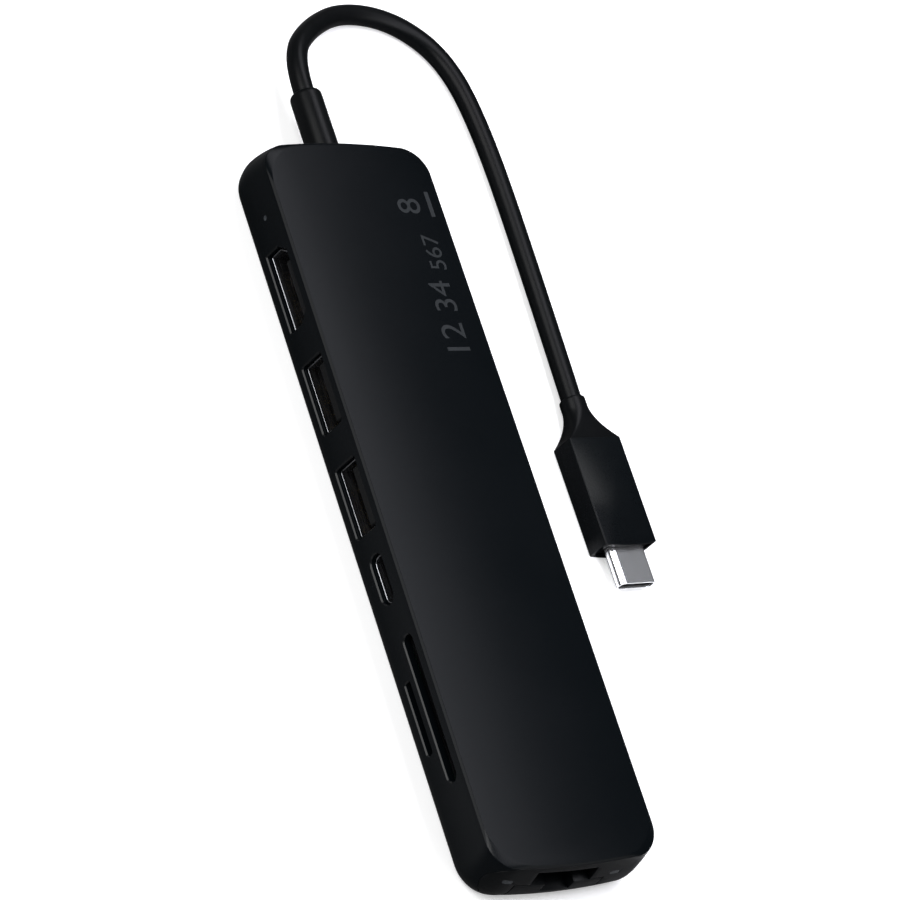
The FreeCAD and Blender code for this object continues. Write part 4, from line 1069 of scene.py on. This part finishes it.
start, stop = mouth_of("hdmi_shell")
hdmi = pipe("hdmi_frame", hdmi_outline(0.0), "y", start, stop, SHELL_WALL)
roof, floor = (hdmi_middle.z + side * (hdmi_size.z / 2 - SHELL_WALL) for side in (1, -1))
ease_edges(hdmi, 0.13, 3, 50)
merge(hdmi, *[leaf_spring(hdmi_middle.x + x, z, side, 2.2, start + 2.2, start + 7.6, 0.45)
              for z, side in ((roof, 1), (floor, -1)) for x in (-2.6, 2.6)])
finish(hdmi, "hub", "socket_metal", dark_nickel, "hdmi_shell")

tongue = tongue_bar("hdmi_tongue", (hdmi_middle.x, hdmi_middle.z), HDMI_TONGUE,
                    start + HDMI_TIP, stop - HDMI_BACK / 2)
merge(tongue, bar("hdmi_back_wall", hdmi_outline(-SHELL_WALL), "y", stop - HDMI_BACK, stop))
finish(tongue, "hub", "socket_plastic", socket_black, "hdmi_insulator")
strips = [contact_strip("hdmi_strips", hdmi_middle.x + i - (HDMI_CONTACTS - 1) / 2,
                        hdmi_middle.z + side * HDMI_STRIP_Z, HDMI_STRIP_WIDE,
                        start + HDMI_TIP + 0.6, stop - HDMI_BACK - STRIP_GAP)
          for i in range(HDMI_CONTACTS) for side in (-1, 1)]
merge(*strips)
finish(strips[0], "hub", "gold_contact", gold_plate, "hdmi_contacts")

# %% [markdown]
# ## USB-A sockets
#
# Both sockets are alike, so one is modelled and copied, each copy with its own mesh. The
# tongue hangs near the upper wall and carries four contacts on its underside, and the leaves
# below rise further than the ones above, because the plug is pressed up against the tongue.

# %% USB-A sockets
USB_A_TONGUE, USB_A_GAP, USB_A_TIP, USB_A_BACK = (11.1, 1.84), 0.75, 0.4, 3.2

middle, size = box_middle("usb_a_shell_1")
start, stop = mouth_of("usb_a_shell_1")
usb_roof = middle.z + size.z / 2 - SHELL_WALL
usb_floor = middle.z - size.z / 2 + SHELL_WALL
tongue_z = usb_roof - USB_A_GAP - USB_A_TONGUE[1] / 2
usb_shell = pipe("usb_a_frame_1", panel((middle.x, middle.z), (size.x, size.z), USB_A_CORNER, 5),
                 "y", start, stop, SHELL_WALL)
ease_edges(usb_shell, 0.07, 3, 50)
merge(usb_shell, *[leaf_spring(middle.x + x, z, side, 1.8, start + 2.4, start + 8.5, rise)
                   for z, side, rise in ((usb_roof, 1, 0.4), (usb_floor, -1, 0.55))
                   for x in (-3.1, 3.1)])
usb_tongue = tongue_bar("usb_a_tongue_1", (middle.x, tongue_z), USB_A_TONGUE,
                        start + USB_A_TIP, stop - USB_A_BACK / 2)
inside = (size.x - 2 * SHELL_WALL, size.z - 2 * SHELL_WALL)
merge(usb_tongue, bar("usb_a_back", panel((middle.x, middle.z), inside, 0.25, 4), "y",
                      stop - USB_A_BACK, stop))
usb_strips = [contact_strip("usb_a_strips_1", middle.x + x,
                            tongue_z - (USB_A_TONGUE[1] + STRIP_THICK) / 2, 1.0,
                            start + USB_A_TIP + 1.3, stop - USB_A_BACK - STRIP_GAP)
              for x in (-3.5, -1.0, 1.0, 3.5)]
merge(*usb_strips)
shift = box_middle("usb_a_shell_2")[0].x - middle.x
for first, slot, material, node in (
        (usb_shell, "socket_metal", dark_nickel, "usb_a_shell_"),
        (usb_tongue, "socket_plastic", socket_black, "usb_a_insulator_"),
        (usb_strips[0], "gold_contact", gold_plate, "usb_a_contacts_")):
    second = copy_of(first, first.name[:-1] + "2")
    activate(second)
    edit()
    bpy.ops.transform.translate(value=(shift * MM, 0, 0))
    leave(False)
    finish(first, "hub", slot, material, node + "1")
    finish(second, "hub", slot, material, node + "2")

# %% [markdown]
# ## USB-C socket
#
# The smallest socket is a seamless drawn oval, so its shell is a pipe with no leaves. Its
# tongue stands free in the middle, and a back wall closes the shell.

# %% USB-C socket
USB_C_TONGUE, USB_C_TIP, USB_C_BACK = (6.69, 0.7), 1.3, 1.5

middle, size = box_middle("usb_c_socket_shell")
start, stop = mouth_of("usb_c_socket_shell")
shell = pipe("usb_c_frame", panel((middle.x, middle.z), (size.x, size.z), size.z / 2, 14),
             "y", start, stop, SHELL_WALL)
ease_edges(shell, 0.13, 3, 50)
finish(shell, "hub", "socket_metal", dark_nickel, "usb_c_socket_shell")
tongue = tongue_bar("usb_c_tongue", (middle.x, middle.z), USB_C_TONGUE, start + USB_C_TIP,
                    stop - 0.7)
inside = (size.x - 2 * SHELL_WALL, size.z - 2 * SHELL_WALL)
merge(tongue, bar("usb_c_back", panel((middle.x, middle.z), inside, size.z / 2 - SHELL_WALL, 10),
                  "y", stop - USB_C_BACK, stop))
finish(tongue, "hub", "socket_plastic", socket_black, "usb_c_socket_tongue")

# %% [markdown]
# ## Strain relief
#
# The strain relief is a round sleeve of the lead's own rubber that keeps the lead from
# kinking where it leaves the cap. Its rounded tip is a few rings of a loft, each a little
# wider than the last, so the whole sleeve is one closed skin.

# %% Strain relief
RELIEF_TIP, RELIEF_R = -83.5, 3.0
TIP_CURVE = ((0.0, 2.15), (0.05, 2.45), (0.25, 2.75), (0.6, 2.93), (1.0, RELIEF_R))


def turned(name, profile, y, z, steps=48):
    """A round piece along X from (x, radius) pairs."""
    return loft(name, [[(x, u, v) for u, v in ring_of(r, (y, z), steps)] for x, r in profile])


relief = turned("strain_relief_sleeve",
                [(RELIEF_TIP + x, r) for x, r in TIP_CURVE]
                + [(-70.0, RELIEF_R), (-66.5, RELIEF_R)], 0, HEIGHT / 2)
finish(relief, "hub", "cord_jacket", lead_jacket, "strain_relief")

# %% [markdown]
# ## Plug boot
#
# The boot flares from a round collar on the lead to the plug's flat body. It is lofted, with
# an easing curve for its width, height and corners, so that it stays slim and flares late.

# %% Plug boot
PLUG_Y, PLUG_Z, PLUG_SIZE, EDGE_R = 39.5, 2.75, (11.9, 5.4), 0.35
BODY_X = (reach("plug_body")[0].x, reach("plug_body")[1].x)
BOOT_START = reach("plug_boot")[0].x
COLLAR_R, COLLAR_LONG = 2.45, 2.0
COLLAR_EDGE = ((0.0, 4.5, 2.2), (0.15, 4.8, 2.4), (0.4, 4.9, 2.45))
FLARE_STEPS = 16


def plug_ring(x, width, height, radius):
    """A rounded rectangle across the plug."""
    return [(x, u, v) for u, v in panel((PLUG_Y, PLUG_Z), (width, height), radius, 10)]


rings = [plug_ring(BOOT_START + x, wide, wide, radius) for x, wide, radius in COLLAR_EDGE]
flare = BODY_X[0] - BOOT_START - COLLAR_LONG
for i in range(FLARE_STEPS + 1):
    t = i / FLARE_STEPS
    wide = 2 * COLLAR_R + (PLUG_SIZE[0] - 2 * COLLAR_R) * t ** 2
    tall = 2 * COLLAR_R + (PLUG_SIZE[1] - 2 * COLLAR_R) * t ** 2
    rings.append(plug_ring(BOOT_START + COLLAR_LONG + flare * t, wide, tall,
                           COLLAR_R + (EDGE_R - COLLAR_R) * t ** 1.3))
boot = loft("plug_boot_flare", rings)
finish(boot, "hub", "cord_jacket", lead_jacket, "plug_boot", angle=40)

# %% [markdown]
# ## Plug body
#
# The body is an open metal sleeve. Its front edge bows forward in the middle, so a tool
# with that curve trims it, and a moulded insert sits a little behind the edge.

# %% Plug body
BODY_WALL, FRONT_BOW, INSERT_BACK = 0.8, 0.55, 0.35
BOW_PLACES = (-8, -6, -5, -4, -3, -2, -1, 0.01, 1, 2, 3, 4, 5, 6, 8)

body = bar("plug_body_sleeve", panel((PLUG_Y, PLUG_Z), PLUG_SIZE, EDGE_R, 6), "x", *BODY_X)
carve(body, bar("body_room", panel((PLUG_Y, PLUG_Z), PLUG_SIZE, EDGE_R + BODY_WALL, 6, -BODY_WALL),
                "x", BODY_X[0] + BODY_WALL, BODY_X[1] + 1))
bow_tool = bar("bow_tool", [(BODY_X[1] + 2, PLUG_Y + 8), (BODY_X[1] + 2, PLUG_Y - 8)]
               + [(BODY_X[1] - FRONT_BOW * (y / 6) ** 2, PLUG_Y + y) for y in BOW_PLACES],
               "z", -2, 9)
carve(body, bow_tool)
ease_edges(body, 0.1, 2, 50)
finish(body, "hub", "plug_black", plug_black, "plug_body")

insert_low, insert_high = reach("plug_front")
nose_low, nose_high = reach("plug_shell")
nose_size = (nose_high.y - nose_low.y, nose_high.z - nose_low.z)
insert = bar("plug_front_insert",
             panel((PLUG_Y, PLUG_Z), (insert_high.y - insert_low.y - 0.06,
                                      insert_high.z - insert_low.z - 0.06), 0.4, 5), "x",
             insert_low.x, insert_high.x - INSERT_BACK)
carve(insert, bar("insert_hole", panel((PLUG_Y, PLUG_Z), nose_size, nose_size[1] / 2, 16, 0.02),
                  "x", insert_low.x - 1, insert_high.x + 1))
ease_edges(insert, 0.12, 2, 40)
finish(insert, "hub", "plug_black", black_moulding, "plug_front")

# %% [markdown]
# ## Plug shell
#
# The part that goes into a computer is a drawn steel oval with a rolled rim, so it is a pipe
# with eased edges. A dark liner inside it has the slot that takes a socket's tongue.

# %% Plug shell
LINER_GAP = 0.31
LINER_SLOT, SLOT_DEPTH = (6.9, 0.9), 5.5

nose = pipe("plug_nose", panel((PLUG_Y, PLUG_Z), nose_size, nose_size[1] / 2, 16), "x",
            nose_low.x, nose_high.x, SHELL_WALL)
ease_edges(nose, 0.12, 4, 50)
finish(nose, "hub", "plug_steel", plug_steel, "plug_shell")
liner_low, liner_high = reach("plug_insulator")
liner = bar("plug_liner",
            panel((PLUG_Y, PLUG_Z), (nose_size[0] - 2 * LINER_GAP, nose_size[1] - 2 * LINER_GAP),
                  nose_size[1] / 2 - LINER_GAP, 12), "x", liner_low.x, liner_high.x)
carve(liner, bar("liner_slot", panel((PLUG_Y, PLUG_Z), LINER_SLOT, 0.25, 6), "x",
                 liner_high.x - SLOT_DEPTH, liner_high.x + 1))
ease_edges(liner, 0.06, 2, 50)
finish(liner, "hub", "socket_plastic", socket_black, "plug_insulator")

# %% [markdown]
# ## Printed numbers
#
# Plain numbers and a bar are printed in dull grey along the far edge of the top face, and
# read from the network end towards the lead. Text objects don't travel well to other
# programs, so each is made a mesh. It lies a hundredth of a millimetre above the metal,
# inside the frame's own height. Each row below is a place, the digits and their height.

# %% Printed numbers
PRINT_PLACES = ((-29.6, 11.0, "12", 5.4), (-38.4, 11.4, "34", 5.0), (-47.4, 12.6, "567", 3.7),
                (-57.0, 10.6, "8", 5.2))
BAR_MARK = ((-57.4, 15.1), (5.2, 0.9))
TEXT_SIZE = 1.35  # digits are then about one unit tall


def printed(text, x, y, tall):
    """A short run of digits that reads along the hub."""
    bpy.ops.object.select_all(action="DESELECT")
    bpy.ops.object.text_add()
    label = bpy.context.object
    label.data.body = text
    label.data.align_x = "CENTER"
    label.data.align_y = "CENTER"
    label.data.size = TEXT_SIZE
    bpy.ops.object.convert(target="MESH")
    label = bpy.context.object
    label.scale = (tall * MM, tall * MM, 1)
    label.rotation_euler = (0, 0, math.pi)
    label.location = Vector((x, y, HEIGHT)) * MM
    bpy.ops.object.transform_apply(location=True, rotation=True, scale=True)
    return label


labels = [printed(text, x, y, tall) for x, y, text, tall in PRINT_PLACES]
labels.append(draw("bar_mark", panel(*BAR_MARK, 0.12, 3), "z", HEIGHT))
merge(*labels)
labels[0].name = labels[0].data.name = "printed_numbers"
finish(labels[0], "hub", "anodised_black", print_grey)

# %% [markdown]
# ## Lamps for one piece
#
# The two small lamps are linked to the piece they are meant for, so that no other piece
# shows a spot of light.

# %% Link the small lamps
for lamp, piece in ((plug_lamp, body), (corner_lamp, sleeve)):
    lit = bpy.data.collections.new(f"{lamp.name}_lights")
    lit.objects.link(piece)
    lamp.light_linking.receiver_collection = lit
    print(lamp.name, "lights", piece.name)

# %% [markdown]
# ## The lead's ends
#
# The lead's route is printed from its first point to its last.

print("the lead runs from", LEAD_ROUTE[0], "to", LEAD_ROUTE[-1])

# %% [markdown]
# ## Last update
#
# The view layer is updated last.

# %% Update
bpy.context.view_layer.update()
